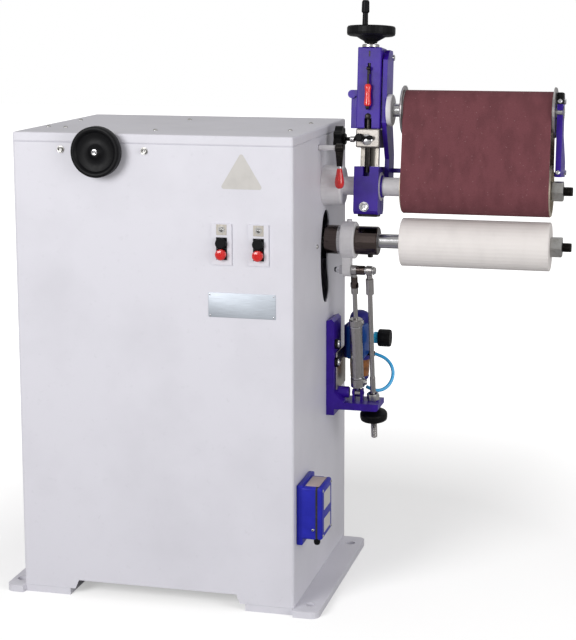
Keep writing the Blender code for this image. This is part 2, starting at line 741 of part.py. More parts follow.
def drive():
    """Motor, V-belt, spindle in its housing, and the contact drum."""
    half = PULLEY_WIDTH / 2
    motor_end = PULLEY_X - half - 0.012
    motor_start = motor_end - MOTOR_LENGTH
    motor_at = (0, MOTOR_AXIS_Y, MOTOR_AXIS_Z)
    shaft_bore = MOTOR_SHAFT_RADIUS + GAP
    bore_depth = 0.030
    body = [
        (MOTOR_RADIUS - 0.012, motor_start),
        (MOTOR_RADIUS - 0.004, motor_start + 0.008),
        (MOTOR_RADIUS - 0.004, motor_start + 0.050),
        (MOTOR_RADIUS, motor_start + 0.050),
        (MOTOR_RADIUS, motor_end - 0.030),
        (MOTOR_RADIUS - 0.030, motor_end),
    ]
    motor = turned(
        "drive_motor",
        "cast_iron",
        body + [(shaft_bore, motor_end), (shaft_bore, motor_end - bore_depth)],
        at=motor_at,
        segments=28,
    )
    foot_low = (motor_start + 0.060, MOTOR_AXIS_Y - 0.075, MOTOR_AXIS_Z - MOTOR_FOOT_DROP + GAP)
    foot_high = (motor_end - 0.060, MOTOR_AXIS_Y + 0.075, MOTOR_AXIS_Z - MOTOR_RADIUS * 0.62)
    join(motor, box("motor_foot_join", None, foot_low, foot_high))
    turned(
        "motor_pulley",
        "cast_iron",
        [(MOTOR_SHAFT_RADIUS, motor_end - bore_depth + GAP), (MOTOR_SHAFT_RADIUS, PULLEY_X - half)]
        + pulley_outline(MOTOR_PITCH_RADIUS, PULLEY_X, half)
        + [(MOTOR_SHAFT_RADIUS, PULLEY_X + half), (MOTOR_SHAFT_RADIUS, PULLEY_X + half + 0.006)],
        at=motor_at,
    )
    spindle_at = (0, DRUM_AXIS_Y, DRUM_AXIS_Z)
    spindle_bore = SPINDLE_RADIUS + GAP
    turned(
        "spindle_pulley",
        "cast_iron",
        pulley_outline(SPINDLE_PITCH_RADIUS, PULLEY_X, half),
        bore=[(spindle_bore, PULLEY_X - half), (spindle_bore, PULLEY_X + half)],
        at=spindle_at,
    )
    path = belt_loop(
        (MOTOR_AXIS_Y, MOTOR_AXIS_Z),
        MOTOR_PITCH_RADIUS - V_BELT_THICKNESS / 2,
        (DRUM_AXIS_Y, DRUM_AXIS_Z),
        SPINDLE_PITCH_RADIUS - V_BELT_THICKNESS / 2,
        18,
    )
    belt(
        "drive_belt",
        "black_rubber",
        path,
        PULLEY_X - V_BELT_WIDTH / 2,
        PULLEY_X + V_BELT_WIDTH / 2,
        V_BELT_THICKNESS,
    )
    housing_start = SIDE_X - HOUSING_INSIDE
    boss_start = SIDE_X + GAP
    tube_end = DRUM_LEFT - END_PLAY
    seat = BEARING_RADIUS + GAP
    nose_seat = NOSE_BEARING_RADIUS + GAP
    clear_bore = SPINDLE_RADIUS + 0.0025
    turned(
        "spindle_housing",
        "pale_grey_paint",
        [
            (HOUSING_RADIUS, housing_start),
            (HOUSING_RADIUS, boss_start),
            (BOSS_RADIUS, boss_start),
            (BOSS_RADIUS, SIDE_X + BOSS_LENGTH - 0.003),
            (BOSS_RADIUS - 0.003, SIDE_X + BOSS_LENGTH),
            (TUBE_RADIUS, SIDE_X + BOSS_LENGTH),
            (TUBE_RADIUS, tube_end),
        ],
        bore=[
            (seat, housing_start),
            (seat, housing_start + BEARING_WIDTH),
            (clear_bore, housing_start + BEARING_WIDTH),
            (clear_bore, tube_end - NOSE_BEARING_WIDTH),
            (nose_seat, tube_end - NOSE_BEARING_WIDTH),
            (nose_seat, tube_end),
        ],
        at=spindle_at,
    )
    nose_start = tube_end - NOSE_BEARING_WIDTH + GAP
    for name, radius, start, width in (
        ("inner_bearing", BEARING_RADIUS, housing_start, BEARING_WIDTH - GAP),
        ("outer_bearing", NOSE_BEARING_RADIUS, nose_start, NOSE_BEARING_WIDTH - GAP),
    ):
        turned(
            name,
            "bright_steel",
            [(radius, start), (radius, start + width)],
            bore=[(spindle_bore, start), (spindle_bore, start + width)],
            at=spindle_at,
            segments=32,
        )
    turned(
        "drive_shaft",
        "bright_steel",
        [
            (SPINDLE_RADIUS, PULLEY_X - half - 0.008),
            (SPINDLE_RADIUS, DRUM_RIGHT - 0.002),
            (THREAD_RADIUS, DRUM_RIGHT - 0.002),
            (THREAD_RADIUS, THREAD_END - 0.001),
            (THREAD_RADIUS - 0.001, THREAD_END),
        ],
        at=spindle_at,
        segments=28,
    )
    rim, hub = DRUM_RADIUS - DRUM_WALL, SPINDLE_RADIUS + 0.009
    turned(
        "contact_drum",
        "drum_aluminium",
        [(DRUM_RADIUS, DRUM_LEFT), (DRUM_RADIUS, DRUM_RIGHT)],
        bore=[
            (rim, DRUM_LEFT),
            (rim, DRUM_LEFT + 0.012),
            (hub, DRUM_LEFT + 0.012),
            (hub, DRUM_LEFT + 0.001),
            (spindle_bore, DRUM_LEFT + 0.001),
            (spindle_bore, DRUM_RIGHT - 0.001),
            (hub, DRUM_RIGHT - 0.001),
            (hub, DRUM_RIGHT - 0.012),
            (rim, DRUM_RIGHT - 0.012),
            (rim, DRUM_RIGHT),
        ],
        at=spindle_at,
        segments=36,
    )
    clamp_nut("drum_nut", spindle_at)


def clamp_nut(name, at):
    """Hexagon nut that holds a drum or roller on the thread at its shaft's end."""
    centre = (DRUM_RIGHT + GAP + END_PLAY + NUT_LENGTH) / 2 + DRUM_RIGHT / 2
    length = END_PLAY + NUT_LENGTH - GAP
    loops = [hexagon(NUT_ACROSS_FLATS), circle((0, 0), THREAD_RADIUS + GAP, 20)]
    nut = outline(name, "bright_steel", loops, length, ALONG_X, (centre, at[1], at[2]))
    soften(nut, 0.0008, 1)


# ---------------------------------------------------------------- head


def head_clamp(head):
    """Split block that grips the housing tube, with a front groove for the tension screw."""
    x0, x1 = HEAD_X - CLAMP_WIDTH / 2, HEAD_X + CLAMP_WIDTH / 2
    depth, chamfer = CLAMP_HALF_DEPTH, CLAMP_CHAMFER
    profile = [
        (-depth, CLAMP_TOP),
        (-depth, chamfer - CLAMP_BOTTOM),
        (chamfer - depth, -CLAMP_BOTTOM),
        (depth - chamfer, -CLAMP_BOTTOM),
        (depth, chamfer - CLAMP_BOTTOM),
        (depth, CLAMP_TOP),
    ]
    bore = circle((0, 0), TUBE_RADIUS + GAP, 28)
    at = (HEAD_X, 0, 0)
    clamp = outline("head_clamp", "purple_paint", [profile, bore], x1 - x0, PLATE_YZ, at, head)
    split_low = (x0 - 0.01, -0.001, -CLAMP_BOTTOM - 0.01)
    split_high = (x1 + 0.01, 0.001, -TUBE_RADIUS)
    cut(clamp, box("clamp_split", None, split_low, split_high, parent=head))
    half_groove = SCREW_RADIUS + GAP
    groove_low = (HEAD_X - half_groove, -depth - 0.01, SCREW_TIP - TENSION_TRAVEL - 0.002)
    groove_high = (HEAD_X + half_groove, SCREW_Y + half_groove, CLAMP_TOP + 0.01)
    cut(clamp, box("screw_groove", None, groove_low, groove_high, parent=head))
    lip = turned(
        "clamp_lip_join",
        None,
        [(TUBE_RADIUS + 0.004, x1 - 0.002), (TUBE_RADIUS + 0.004, x1 + 0.006)],
        bore=[(TUBE_RADIUS + GAP, x1 - 0.002), (TUBE_RADIUS + GAP, x1 + 0.006)],
        parent=head,
    )
    join(clamp, lip)


def guide(head):
    """Steel guide plate that the carriage slides on."""
    low = (HEAD_X - GUIDE_WIDTH / 2, GUIDE_Y, CLAMP_TOP + GAP)
    high = (HEAD_X + GUIDE_WIDTH / 2, GUIDE_Y + GUIDE_THICKNESS, GUIDE_TOP)
    box("guide_plate", "bright_steel", low, high, parent=head)


def slide_block(carriage):
    """Cast block at the foot of the column, round the guide plate."""
    half = COLUMN_WIDTH / 2
    top = COLUMN_BOTTOM - GAP
    bottom = top - SLIDE_BLOCK_HEIGHT
    low = (HEAD_X - half, -COLUMN_DEPTH / 2, bottom)
    high = (HEAD_X + half, COLUMN_DEPTH / 2, top)
    block = box("slide_block", "cast_iron", low, high, 0.003, parent=carriage)
    guide_low = (HEAD_X - GUIDE_WIDTH / 2 - GAP, GUIDE_Y - GAP, bottom - 0.01)
    guide_high = (HEAD_X + GUIDE_WIDTH / 2 + GAP, GUIDE_Y + GUIDE_THICKNESS + GAP, top + 0.01)
    cut(block, box("guide_cut", None, guide_low, guide_high, parent=carriage))
    screw = (HEAD_X, SCREW_Y, 0)
    span = (bottom - 0.01, top + 0.01)
    cut(block, rod("screw_cut", None, SCREW_RADIUS + GAP, *span, ALONG_Z, screw, parent=carriage))
    star = (0, STAR_Y, STAR_Z)
    span = (HEAD_X - half - 0.01, STAR_ROD_END + GAP)
    cut(block, rod("star_cut", None, STAR_ROD_RADIUS + GAP, *span, ALONG_X, star, 16, carriage))
    lock = (LOCK_X, 0, LOCK_Z)
    span = (-COLUMN_DEPTH / 2 - 0.01, LOCK_STUD_END + GAP)
    cut(block, rod("lock_cut", None, LOCK_STUD_RADIUS + GAP, *span, ALONG_Y, lock, 16, carriage))


def column(carriage):
    """Channel-section column, open at the back and foot, with the head's side wing."""
    half = COLUMN_WIDTH / 2
    front = -COLUMN_DEPTH / 2
    low = (HEAD_X - half, front, COLUMN_BOTTOM)
    high = (HEAD_X + half, COLUMN_DEPTH / 2, COLUMN_TOP)
    post = box("column", "purple_paint", low, high, 0.002, parent=carriage)
    wing_foot = (HEAD_X - half - 0.014, front + 0.012, COLUMN_BOTTOM)
    wing_top = (HEAD_X - half + 0.002, front + 0.018, COLUMN_BOTTOM + 0.072)
    join(post, box("wing_join", None, wing_foot, wing_top, parent=carriage))
    roll_at = (HEAD_X - half - 0.012, 0, COLUMN_BOTTOM + 0.074)
    span = (front + 0.006, front + 0.030)
    join(post, rod("wing_roll_join", None, 0.009, *span, ALONG_Y, roll_at, 20, carriage))
    roll_arm_low = (HEAD_X - half - 0.012, front + 0.006, COLUMN_BOTTOM + 0.070)
    roll_arm_high = (HEAD_X - half + 0.002, front + 0.030, COLUMN_BOTTOM + 0.083)
    join(post, box("wing_arm_join", None, roll_arm_low, roll_arm_high, parent=carriage))
    hollow_low = (HEAD_X - half + COLUMN_WALL, front + COLUMN_WALL, COLUMN_BOTTOM - 0.01)
    hollow_high = (HEAD_X + half - COLUMN_WALL, COLUMN_DEPTH, COLUMN_TOP - COLUMN_WALL)
    cut(post, box("column_hollow", None, hollow_low, hollow_high, parent=carriage))
    notch_low = (HEAD_X - 0.008, front - 0.01, COLUMN_BOTTOM - 0.01)
    notch_high = (HEAD_X + 0.008, front + 0.01, COLUMN_BOTTOM + 0.022)
    cut(post, box("column_notch", None, notch_low, notch_high, parent=carriage))
    screw = (HEAD_X, SCREW_Y, 0)
    journal = (COLUMN_TOP - 0.02, COLUMN_TOP + 0.01)
    cut(post, rod("journal_cut", None, JOURNAL_RADIUS + GAP, *journal, ALONG_Z, screw, parent=carriage))
    slot_low = (HEAD_X - 0.0035, front - 0.01, RELEASE_Z - 0.012)
    slot_high = (HEAD_X + 0.0035, front + 0.01, RELEASE_Z + 0.012)
    cut(post, box("release_slot", None, slot_low, slot_high, parent=carriage))


def idler_frame(carriage):
    """The two arms with the bar behind the belt, and the idler shaft and roller between them."""
    inner_x = HEAD_X + COLUMN_WIDTH / 2 + ARM_CLEARANCE
    outer_x = DRUM_RIGHT + CHEEK_THICKNESS + ARM_CLEARANCE
    bar_back = CROSS_BAR_Y + CROSS_BAR_DEPTH
    idler = (0, CENTRE_DISTANCE)
    inner = [
        (-0.022, COLUMN_TOP - 0.026),
        (-0.022, CENTRE_DISTANCE - 0.028),
        (0.026, 0.060),
        (0.026, CROSS_BAR_Z - 0.014),
        (bar_back, CROSS_BAR_Z - 0.014),
        (bar_back, 0.070),
        (0.048, CENTRE_DISTANCE),
        (0.048, 0.280),
        (0.036, COLUMN_TOP - 0.004),
        (0.004, COLUMN_TOP - 0.004),
    ]
    shaft_hole = circle(idler, IDLER_SHAFT_RADIUS + GAP)
    inner_at = (inner_x + ARM_PLATE / 2, 0, 0)
    loops = [inner, shaft_hole]
    inner_arm = outline(
        "inner_arm", "purple_paint", loops, ARM_PLATE, PLATE_YZ, inner_at, carriage
    )
    plate_end = inner_x + ARM_PLATE
    boss_bore = IDLER_SHAFT_RADIUS + GAP
    boss = turned(
        "idler_boss_join",
        None,
        [(0.034, plate_end - 0.002), (0.034, plate_end + 0.008), (0.031, plate_end + 0.011)],
        bore=[(boss_bore, plate_end - 0.002), (boss_bore, plate_end + 0.011)],
        at=(0, 0, CENTRE_DISTANCE),
        parent=carriage,
    )
    join(inner_arm, boss)
    spacer_low = (HEAD_X + COLUMN_WIDTH / 2 + GAP, -0.008, COLUMN_TOP - 0.060)
    spacer_high = (inner_x + 0.002, 0.020, COLUMN_TOP - 0.010)
    join(inner_arm, box("arm_spacer_join", None, spacer_low, spacer_high, parent=carriage))
    bar_top = CROSS_BAR_Z + CROSS_BAR_HEIGHT
    bar_low = (inner_x + ARM_PLATE + GAP, CROSS_BAR_Y, CROSS_BAR_Z)
    bar_high = (outer_x - GAP, bar_back, bar_top)
    box("cross_bar", "purple_paint", bar_low, bar_high, parent=carriage)
    outer = [
        (-0.020, CENTRE_DISTANCE + 0.014),
        (-0.020, CROSS_BAR_Z),
        (bar_back, CROSS_BAR_Z),
        (bar_back, 0.062),
        (0.024, 0.120),
        (0.024, CENTRE_DISTANCE + 0.034),
        (0.014, CENTRE_DISTANCE + 0.042),
        (-0.012, CENTRE_DISTANCE + 0.042),
        (-0.020, CENTRE_DISTANCE + 0.034),
    ]
    stub_hole = circle(idler, IDLER_STUB_RADIUS + GAP, 20)
    outer_at = (outer_x + OUTER_PLATE / 2, 0, 0)
    loops = [outer, stub_hole]
    outline("outer_arm", "purple_paint", loops, OUTER_PLATE, PLATE_YZ, outer_at, carriage)
    turned(
        "idler_shaft",
        "bright_steel",
        [
            (IDLER_SHAFT_RADIUS, inner_x),
            (IDLER_SHAFT_RADIUS, outer_x - GAP),
            (IDLER_STUB_RADIUS, outer_x - GAP),
            (IDLER_STUB_RADIUS, outer_x + OUTER_PLATE + 0.011),
        ],
        at=(0, 0, CENTRE_DISTANCE),
        segments=28,
        parent=carriage,
    )
    roller_bore = IDLER_SHAFT_RADIUS + GAP
    cheek_left, cheek_right = DRUM_LEFT - CHEEK_THICKNESS, DRUM_RIGHT + CHEEK_THICKNESS
    turned(
        "idler_roller",
        "drum_aluminium",
        [
            (CHEEK_RADIUS - 0.0015, cheek_left),
            (CHEEK_RADIUS, cheek_left + 0.0015),
            (CHEEK_RADIUS, DRUM_LEFT),
            (IDLER_RADIUS, DRUM_LEFT),
            (IDLER_RADIUS, DRUM_RIGHT),
            (CHEEK_RADIUS, DRUM_RIGHT),
            (CHEEK_RADIUS, cheek_right - 0.0015),
            (CHEEK_RADIUS - 0.0015, cheek_right),
        ],
        bore=[(roller_bore, cheek_left), (roller_bore, cheek_right)],
        at=(0, 0, CENTRE_DISTANCE),
        segments=36,
        parent=carriage,
    )


def sanding_belt(head):
    path = belt_loop((0, 0), BELT_INNER, (0, CENTRE_DISTANCE), IDLER_RADIUS + GAP, 28)
    sides = (DRUM_LEFT + BELT_MARGIN, DRUM_RIGHT - BELT_MARGIN)
    belt("sanding_belt", "abrasive_cloth", path, *sides, BELT_THICKNESS, head)


def handwheel(wheel):
    """Dished handwheel on the tension screw, with a revolving crank grip."""
    hub_bore = JOURNAL_RADIUS + GAP
    base = RIM_Z
    top = base + WHEEL_HEIGHT
    radius = WHEEL_RADIUS
    rim = turned(
        "handwheel",
        "black_plastic",
        [
            (0.0130, base),
            (0.0150, base + 0.004),
            (radius * 0.62, base + 0.014),
            (radius - 0.005, base + 0.0155),
            (radius - 0.001, base + 0.0175),
            (radius, base + 0.022),
            (radius, top - 0.003),
            (radius - 0.002, top),
        ],
        bore=[
            (hub_bore, base),
            (hub_bore, base + 0.026),
            (0.0130, base + 0.026),
            (0.0150, base + 0.020),
            (radius * 0.66, base + 0.020),
            (radius - 0.0145, base + 0.024),
            (radius - 0.0130, top - 0.002),
            (radius - 0.0100, top),
        ],
        direction=ALONG_Z,
        segments=36,
        parent=wheel,
    )
    crank_at = (CRANK_RADIUS * math.cos(CRANK_ANGLE), CRANK_RADIUS * math.sin(CRANK_ANGLE), 0)
    stud_top = top + CRANK_LENGTH - 0.012
    join(rim, rod("crank_stud_join", None, 0.0035, top - 0.006, stud_top, ALONG_Z, crank_at, 16, wheel))
    foot = top + GAP
    grip = turned(
        "crank_grip",
        "black_plastic",
        [
            (0.0062, foot),
            (0.0058, foot + 0.024),
            (0.0085, foot + 0.027),
            (0.0080, foot + CRANK_LENGTH - 0.004),
            (0.0060, foot + CRANK_LENGTH),
        ],
        direction=ALONG_Z,
        at=crank_at,
        segments=24,
        parent=wheel,
    )
    bore = (foot - 0.01, stud_top + GAP)
    cut(grip, rod("grip_bore", None, 0.0035 + GAP, *bore, ALONG_Z, crank_at, 16, wheel))
    turned(
        "tension_screw",
        "blackened_steel",
        [
            (SCREW_RADIUS, SCREW_TIP),
            (SCREW_RADIUS, COLUMN_TOP - COLUMN_WALL - 0.002),
            (JOURNAL_RADIUS, COLUMN_TOP - COLUMN_WALL - 0.002),
            (JOURNAL_RADIUS, COLUMN_TOP + GAP),
            (0.0180, COLUMN_TOP + GAP),
            (0.0180, COLUMN_TOP + COLLAR_HEIGHT - 0.001),
            (0.0170, COLUMN_TOP + COLLAR_HEIGHT),
            (JOURNAL_RADIUS, COLUMN_TOP + COLLAR_HEIGHT),
            (JOURNAL_RADIUS, base + 0.030),
        ],
        direction=ALONG_Z,
        segments=28,
        parent=wheel,
    )


def release_lever(pivot):
    """Quick-release lever on the column's front, with a red grip hanging down."""
    stand = -0.009
    at = (0, stand, 0)
    lever = rod("release_lever", "red_plastic", 0.0045, -0.010, 0.010, ALONG_X, at, 16, pivot)
    join(lever, rod("lever_stem_join", None, 0.0030, -0.045, 0.002, ALONG_Z, at, 12, pivot))
    grip = turned(
        "lever_grip_join",
        None,
        [
            (0.0020, -0.088),
            (0.0040, -0.084),
            (0.0078, -0.081),
            (0.0078, -0.062),
            (0.0066, -0.048),
            (0.0072, -0.036),
            (0.0050, -0.033),
        ],
        direction=ALONG_Z,
        at=at,
        segments=20,
        parent=pivot,
    )
    join(lever, grip)
    ear = (stand, COLUMN_WALL - 0.001)
    join(lever, rod("lever_ear_join", None, 0.0030, *ear, ALONG_Y, (0, 0, 0), 12, pivot))


def star_knob(carriage):
    """Lobed knob on a rod that screws into the slide block."""
    lobes, points = 7, 56
    loop = []
    for i in range(points):
        turn = 2 * math.pi * i / points
        radius = 0.0262 + 0.0028 * math.cos(lobes * turn)
        loop.append((radius * math.cos(turn), radius * math.sin(turn)))
    knob_x = STAR_ROD_END - 0.059
    at = (knob_x + 0.0085, STAR_Y, STAR_Z)
    knob = outline("star_knob", "black_plastic", [loop], 0.017, PLATE_YZ, at, carriage)
    axis = (0, STAR_Y, STAR_Z)
    hub = (knob_x + 0.015, knob_x + 0.023)
    join(knob, rod("star_hub_join", None, 0.012, *hub, ALONG_X, axis, 20, carriage))
    stem = (knob_x + 0.020, STAR_ROD_END)
    join(knob, rod("star_rod_join", None, STAR_ROD_RADIUS, *stem, ALONG_X, axis, 16, carriage))


def lock_handle(pivot):
    """Short black clamping handle on the front of the slide block."""
    front = -COLUMN_DEPTH / 2 - GAP
    handle = turned(
        "lock_handle",
        "black_plastic",
        [
            (0.0065, front - 0.018),
            (0.0090, front - 0.015),
            (0.0090, front),
            (LOCK_STUD_RADIUS, front),
            (LOCK_STUD_RADIUS, LOCK_STUD_END),
        ],
        direction=ALONG_Y,
        segments=20,
        parent=pivot,
    )
    arm = turned(
        "lock_arm_join",
        None,
        [(0.0030, 0.0), (0.0030, 0.016), (0.0048, 0.020), (0.0048, 0.026), (0.0030, 0.029)],
        direction=ALONG_X,
        at=(0, front - 0.010, 0),
        segments=16,
        parent=pivot,
    )
    join(handle, arm)


def swing_lever(pivot):
    """Lever with a red teardrop grip that locks the head's swing, on a stud in the cabinet side."""
    x = LEVER_X
    stud = (SIDE_X - 0.008, x + 0.007)
    lever = rod("swing_lever", "red_plastic", LEVER_STUD_RADIUS, *stud, parent=pivot)
    join(lever, rod("lever_hub_join", None, 0.0095, x - 0.009, x + 0.009, parent=pivot))
    join(lever, rod("lever_neck_join", None, 0.0035, -0.050, 0.0, ALONG_Z, (x, 0, 0), 12, pivot))
    grip = turned(
        "teardrop_join",
        None,
        [
            (0.0040, -0.088),
            (0.0085, -0.085),
            (0.0105, -0.078),
            (0.0100, -0.070),
            (0.0070, -0.054),
            (0.0055, -0.046),
        ],
        direction=ALONG_Z,
        at=(x, 0, 0),
        segments=24,
        parent=pivot,
    )
    join(lever, grip)


# ---------------------------------------------------------------- feed


def feed_parts(arm):
    """The swinging arm with its gearmotor inside, and the shaft, roller and hanger outside."""
    arm_right = SIDE_X - SHEET - ARM_STANDOFF
    arm_left = arm_right - ARM_THICKNESS
    shaft_y, shaft_z = FEED_AXIS_Y - PIVOT_Y, FEED_AXIS_Z - PIVOT_Z
    reach = math.hypot(shaft_y, shaft_z)
    heading = math.atan2(shaft_z, shaft_y)
    pivot_boss, shaft_boss = 0.030, 0.038
    spread = math.acos((pivot_boss - shaft_boss) / reach)
    loop = arc((0, 0), pivot_boss, heading + spread, heading + 2 * math.pi - spread, 16)
    loop += arc((shaft_y, shaft_z), shaft_boss, heading - spread, heading + spread, 16)
    holes = [
        circle((0, 0), PIVOT_RADIUS + GAP),
        circle((shaft_y, shaft_z), FEED_SHAFT_RADIUS + GAP),
    ]
    arm_at = ((arm_left + arm_right) / 2, 0, 0)
    outline("feed_arm", "cast_iron", [loop] + holes, ARM_THICKNESS, PLATE_YZ, arm_at, arm)
    box_low = (arm_left - GAP - 0.068, shaft_y - 0.040, shaft_z - 0.042)
    box_high = (arm_left - GAP, shaft_y + 0.040, shaft_z + 0.042)
    motor = box("feed_motor", "drum_aluminium", box_low, box_high, 0.004, parent=arm)
    motor_at = ((box_low[0] + box_high[0]) / 2, shaft_y, shaft_z)
    join(motor, rod("feed_motor_can_join", None, 0.032, -0.160, -0.030, ALONG_Z, motor_at, 28, arm))
    shaft_at = (0, shaft_y, shaft_z)
    bore = (box_low[0] - 0.01, box_high[0] + 0.01)
    cut(motor, rod("feed_motor_bore", None, FEED_SHAFT_RADIUS + GAP, *bore, at=shaft_at, parent=arm))
    roller_parts(arm, shaft_at, box_low[0])
    hanger(arm, shaft_y, shaft_z)


def roller_parts(arm, at, shaft_start):
    """Shaft with its fixed inner collar, the outer collar, the roller and its nut."""
    hanger_start = SIDE_X + HANGER_START
    hanger_end = hanger_start + HANGER_LENGTH
    collar_end = hanger_end + 0.050
    turned(
        "feed_shaft",
        "bright_steel",
        [
            (FEED_SHAFT_RADIUS, shaft_start),
            (FEED_SHAFT_RADIUS, hanger_start - 0.030),
            (COLLAR_RADIUS - 0.001, hanger_start - 0.030),
            (COLLAR_RADIUS, hanger_start - 0.028),
            (COLLAR_RADIUS, hanger_start - GAP),
            (FEED_SHAFT_RADIUS, hanger_start - GAP),
            (FEED_SHAFT_RADIUS, collar_end + GAP),
            (FEED_STUB_RADIUS, collar_end + GAP),
            (FEED_STUB_RADIUS, DRUM_RIGHT - 0.002),
            (THREAD_RADIUS, DRUM_RIGHT - 0.002),
            (THREAD_RADIUS, THREAD_END - 0.001),
            (THREAD_RADIUS - 0.001, THREAD_END),
        ],
        at=at,
        segments=32,
        parent=arm,
    )
    turned(
        "outer_collar",
        "blackened_steel",
        [
            (COLLAR_RADIUS, hanger_end + GAP),
            (COLLAR_RADIUS, collar_end - 0.002),
            (COLLAR_RADIUS - 0.002, collar_end),
        ],
        bore=[(FEED_SHAFT_RADIUS + GAP, hanger_end + GAP), (FEED_SHAFT_RADIUS + GAP, collar_end)],
        at=at,
        segments=28,
        parent=arm,
    )
    bore = FEED_STUB_RADIUS + GAP
    turned(
        "feed_roller",
        "white_rubber",
        [
            (ROLLER_RADIUS - 0.002, DRUM_LEFT - 0.0015),
            (ROLLER_RADIUS, DRUM_LEFT),
            (ROLLER_RADIUS, DRUM_RIGHT - 0.0015),
            (ROLLER_RADIUS - 0.0015, DRUM_RIGHT),
        ],
        bore=[(bore, DRUM_LEFT - 0.0015), (bore, DRUM_RIGHT)],
        at=at,
        segments=36,
        parent=arm,
    )
    centre = (DRUM_RIGHT + GAP + END_PLAY + NUT_LENGTH) / 2 + DRUM_RIGHT / 2
    loops = [hexagon(NUT_ACROSS_FLATS), circle((0, 0), THREAD_RADIUS + GAP, 20)]
    nut_length = END_PLAY + NUT_LENGTH - GAP
    nut = outline("feed_nut", "bright_steel", loops, nut_length, ALONG_X, (centre, at[1], at[2]), arm)
    soften(nut, 0.0008, 1)


def hanger(arm, shaft_y, shaft_z):
    """Bearing housing on the feed shaft, with a tongue and the link pin through it."""
    start = SIDE_X + HANGER_START
    end = start + HANGER_LENGTH
    body = turned(
        "hanger_housing",
        "pale_grey_paint",
        [
            (HANGER_RADIUS - 0.002, start),
            (HANGER_RADIUS, start + 0.002),
            (HANGER_RADIUS, end - 0.002),
            (HANGER_RADIUS - 0.002, end),
        ],
        bore=[(FEED_SHAFT_RADIUS + GAP, start), (FEED_SHAFT_RADIUS + GAP, end)],
        at=(0, shaft_y, shaft_z),
        parent=arm,
    )
    half = TONGUE_WIDTH / 2
    tip = shaft_z - LINK_DROP
    loop = [(shaft_y + half, shaft_z - 0.022), (shaft_y - half, shaft_z - 0.022)]
    loop += arc((shaft_y, tip), half, math.pi, 2 * math.pi, 10)
    hole = circle((shaft_y, tip), LINK_PIN_RADIUS + GAP, 20)
    tongue_at = (TONGUE_X + TONGUE_THICKNESS / 2, 0, 0)
    join(body, outline("tongue_join", None, [loop, hole], TONGUE_THICKNESS, PLATE_YZ, tongue_at, arm))
    nub_at = ((start + end) / 2, shaft_y, shaft_z)
    nub = (HANGER_RADIUS - 0.004, HANGER_RADIUS + 0.005)
    join(body, rod("grease_nub_join", None, 0.0060, *nub, ALONG_Z, nub_at, 16, arm))
    pin_at = (0, shaft_y, tip)
    reach = (TONGUE_X - 0.010, STOP_ROD_X + EYE_WIDTH / 2 + 0.004)
    pin = rod("link_pin", "bright_steel", LINK_PIN_RADIUS, *reach, at=pin_at, parent=arm)
    nut_at = (TONGUE_X - GAP - 0.004, shaft_y, tip)
    join(pin, outline("pin_nut_join", None, [hexagon(0.018)], 0.008, ALONG_X, nut_at, arm))
    spacer = (CYLINDER_X + EYE_WIDTH / 2 + 0.001, STOP_ROD_X - EYE_WIDTH / 2 - 0.001)
    join(pin, rod("pin_spacer_join", None, 0.0085, *spacer, at=pin_at, segments=20, parent=arm))


def pivot_shaft():
    """Fixed journal of the feed arm, flanged to the inside of the cabinet's right wall."""
    wall = SIDE_X - SHEET - GAP
    arm_right = SIDE_X - SHEET - ARM_STANDOFF
    arm_left = arm_right - ARM_THICKNESS
    turned(
        "pivot_shaft",
        "bright_steel",
        [
            (0.019, arm_left - GAP - 0.008),
            (0.019, arm_left - GAP),
            (PIVOT_RADIUS, arm_left - GAP),
            (PIVOT_RADIUS, arm_right + GAP),
            (0.020, arm_right + GAP),
            (0.020, wall - 0.008),
            (0.030, wall - 0.008),
            (0.030, wall),
        ],
        at=(0, PIVOT_Y, PIVOT_Z),
        segments=28,
    )


# ---------------------------------------------------------------- air cylinder and stop


def side_bracket():
    """Angle bracket on the cabinet side, with the cylinder's lugs and the stop rod's guide bush."""
    wall = SIDE_X + GAP
    leg = wall + BRACKET_LEG
    end = wall + SHELF_REACH
    under = SHELF_Z - SHELF_PLATE
    profile = [
        (wall, under - 0.014),
        (leg, under - 0.014),
        (leg, under),
        (end - 0.004, under),
        (end, under + 0.004),
        (end, SHELF_Z),
        (leg + 0.022, SHELF_Z),
        (leg, SHELF_Z + 0.022),
        (leg, BRACKET_TOP - 0.006),
        (leg - 0.006, BRACKET_TOP),
        (wall, BRACKET_TOP - 0.004),
    ]
    middle = (BRACKET_Y0 + BRACKET_Y1) / 2
    depth = BRACKET_Y1 - BRACKET_Y0
    bracket = outline("side_bracket", "purple_paint", [profile], depth, PLATE_XZ, (0, middle, 0))
    ear_gap = EYE_WIDTH / 2 + 0.0008
    for side in (-1, 1):
        near, far = CYLINDER_X + side * ear_gap, CYLINDER_X + side * (ear_gap + 0.005)
        low = (min(near, far), BASE_PIN_Y - 0.009, SHELF_Z - 0.004)
        high = (max(near, far), BASE_PIN_Y + 0.009, BASE_PIN_Z + 0.009)
        join(bracket, box(f"ear_join_{side + 1}", None, low, high))
    pin = (CYLINDER_X - ear_gap - 0.007, CYLINDER_X + ear_gap + 0.007)
    pin_at = (0, BASE_PIN_Y, BASE_PIN_Z)
    join(bracket, rod("base_pin_join", None, BASE_PIN_RADIUS, *pin, at=pin_at))
    guide_at = (STOP_ROD_X, BASE_PIN_Y, BASE_PIN_Z)
    lean = (LINK_LEAN, 0, 0)
    join(bracket, rod("bush_join", None, 0.0125, -0.024, 0.0, lean, guide_at, 24))
    bush = STOP_ROD_RADIUS + BUSH_CLEARANCE
    cut(bracket, rod("bush_bore", None, bush, -0.060, 0.020, lean, guide_at, 24))


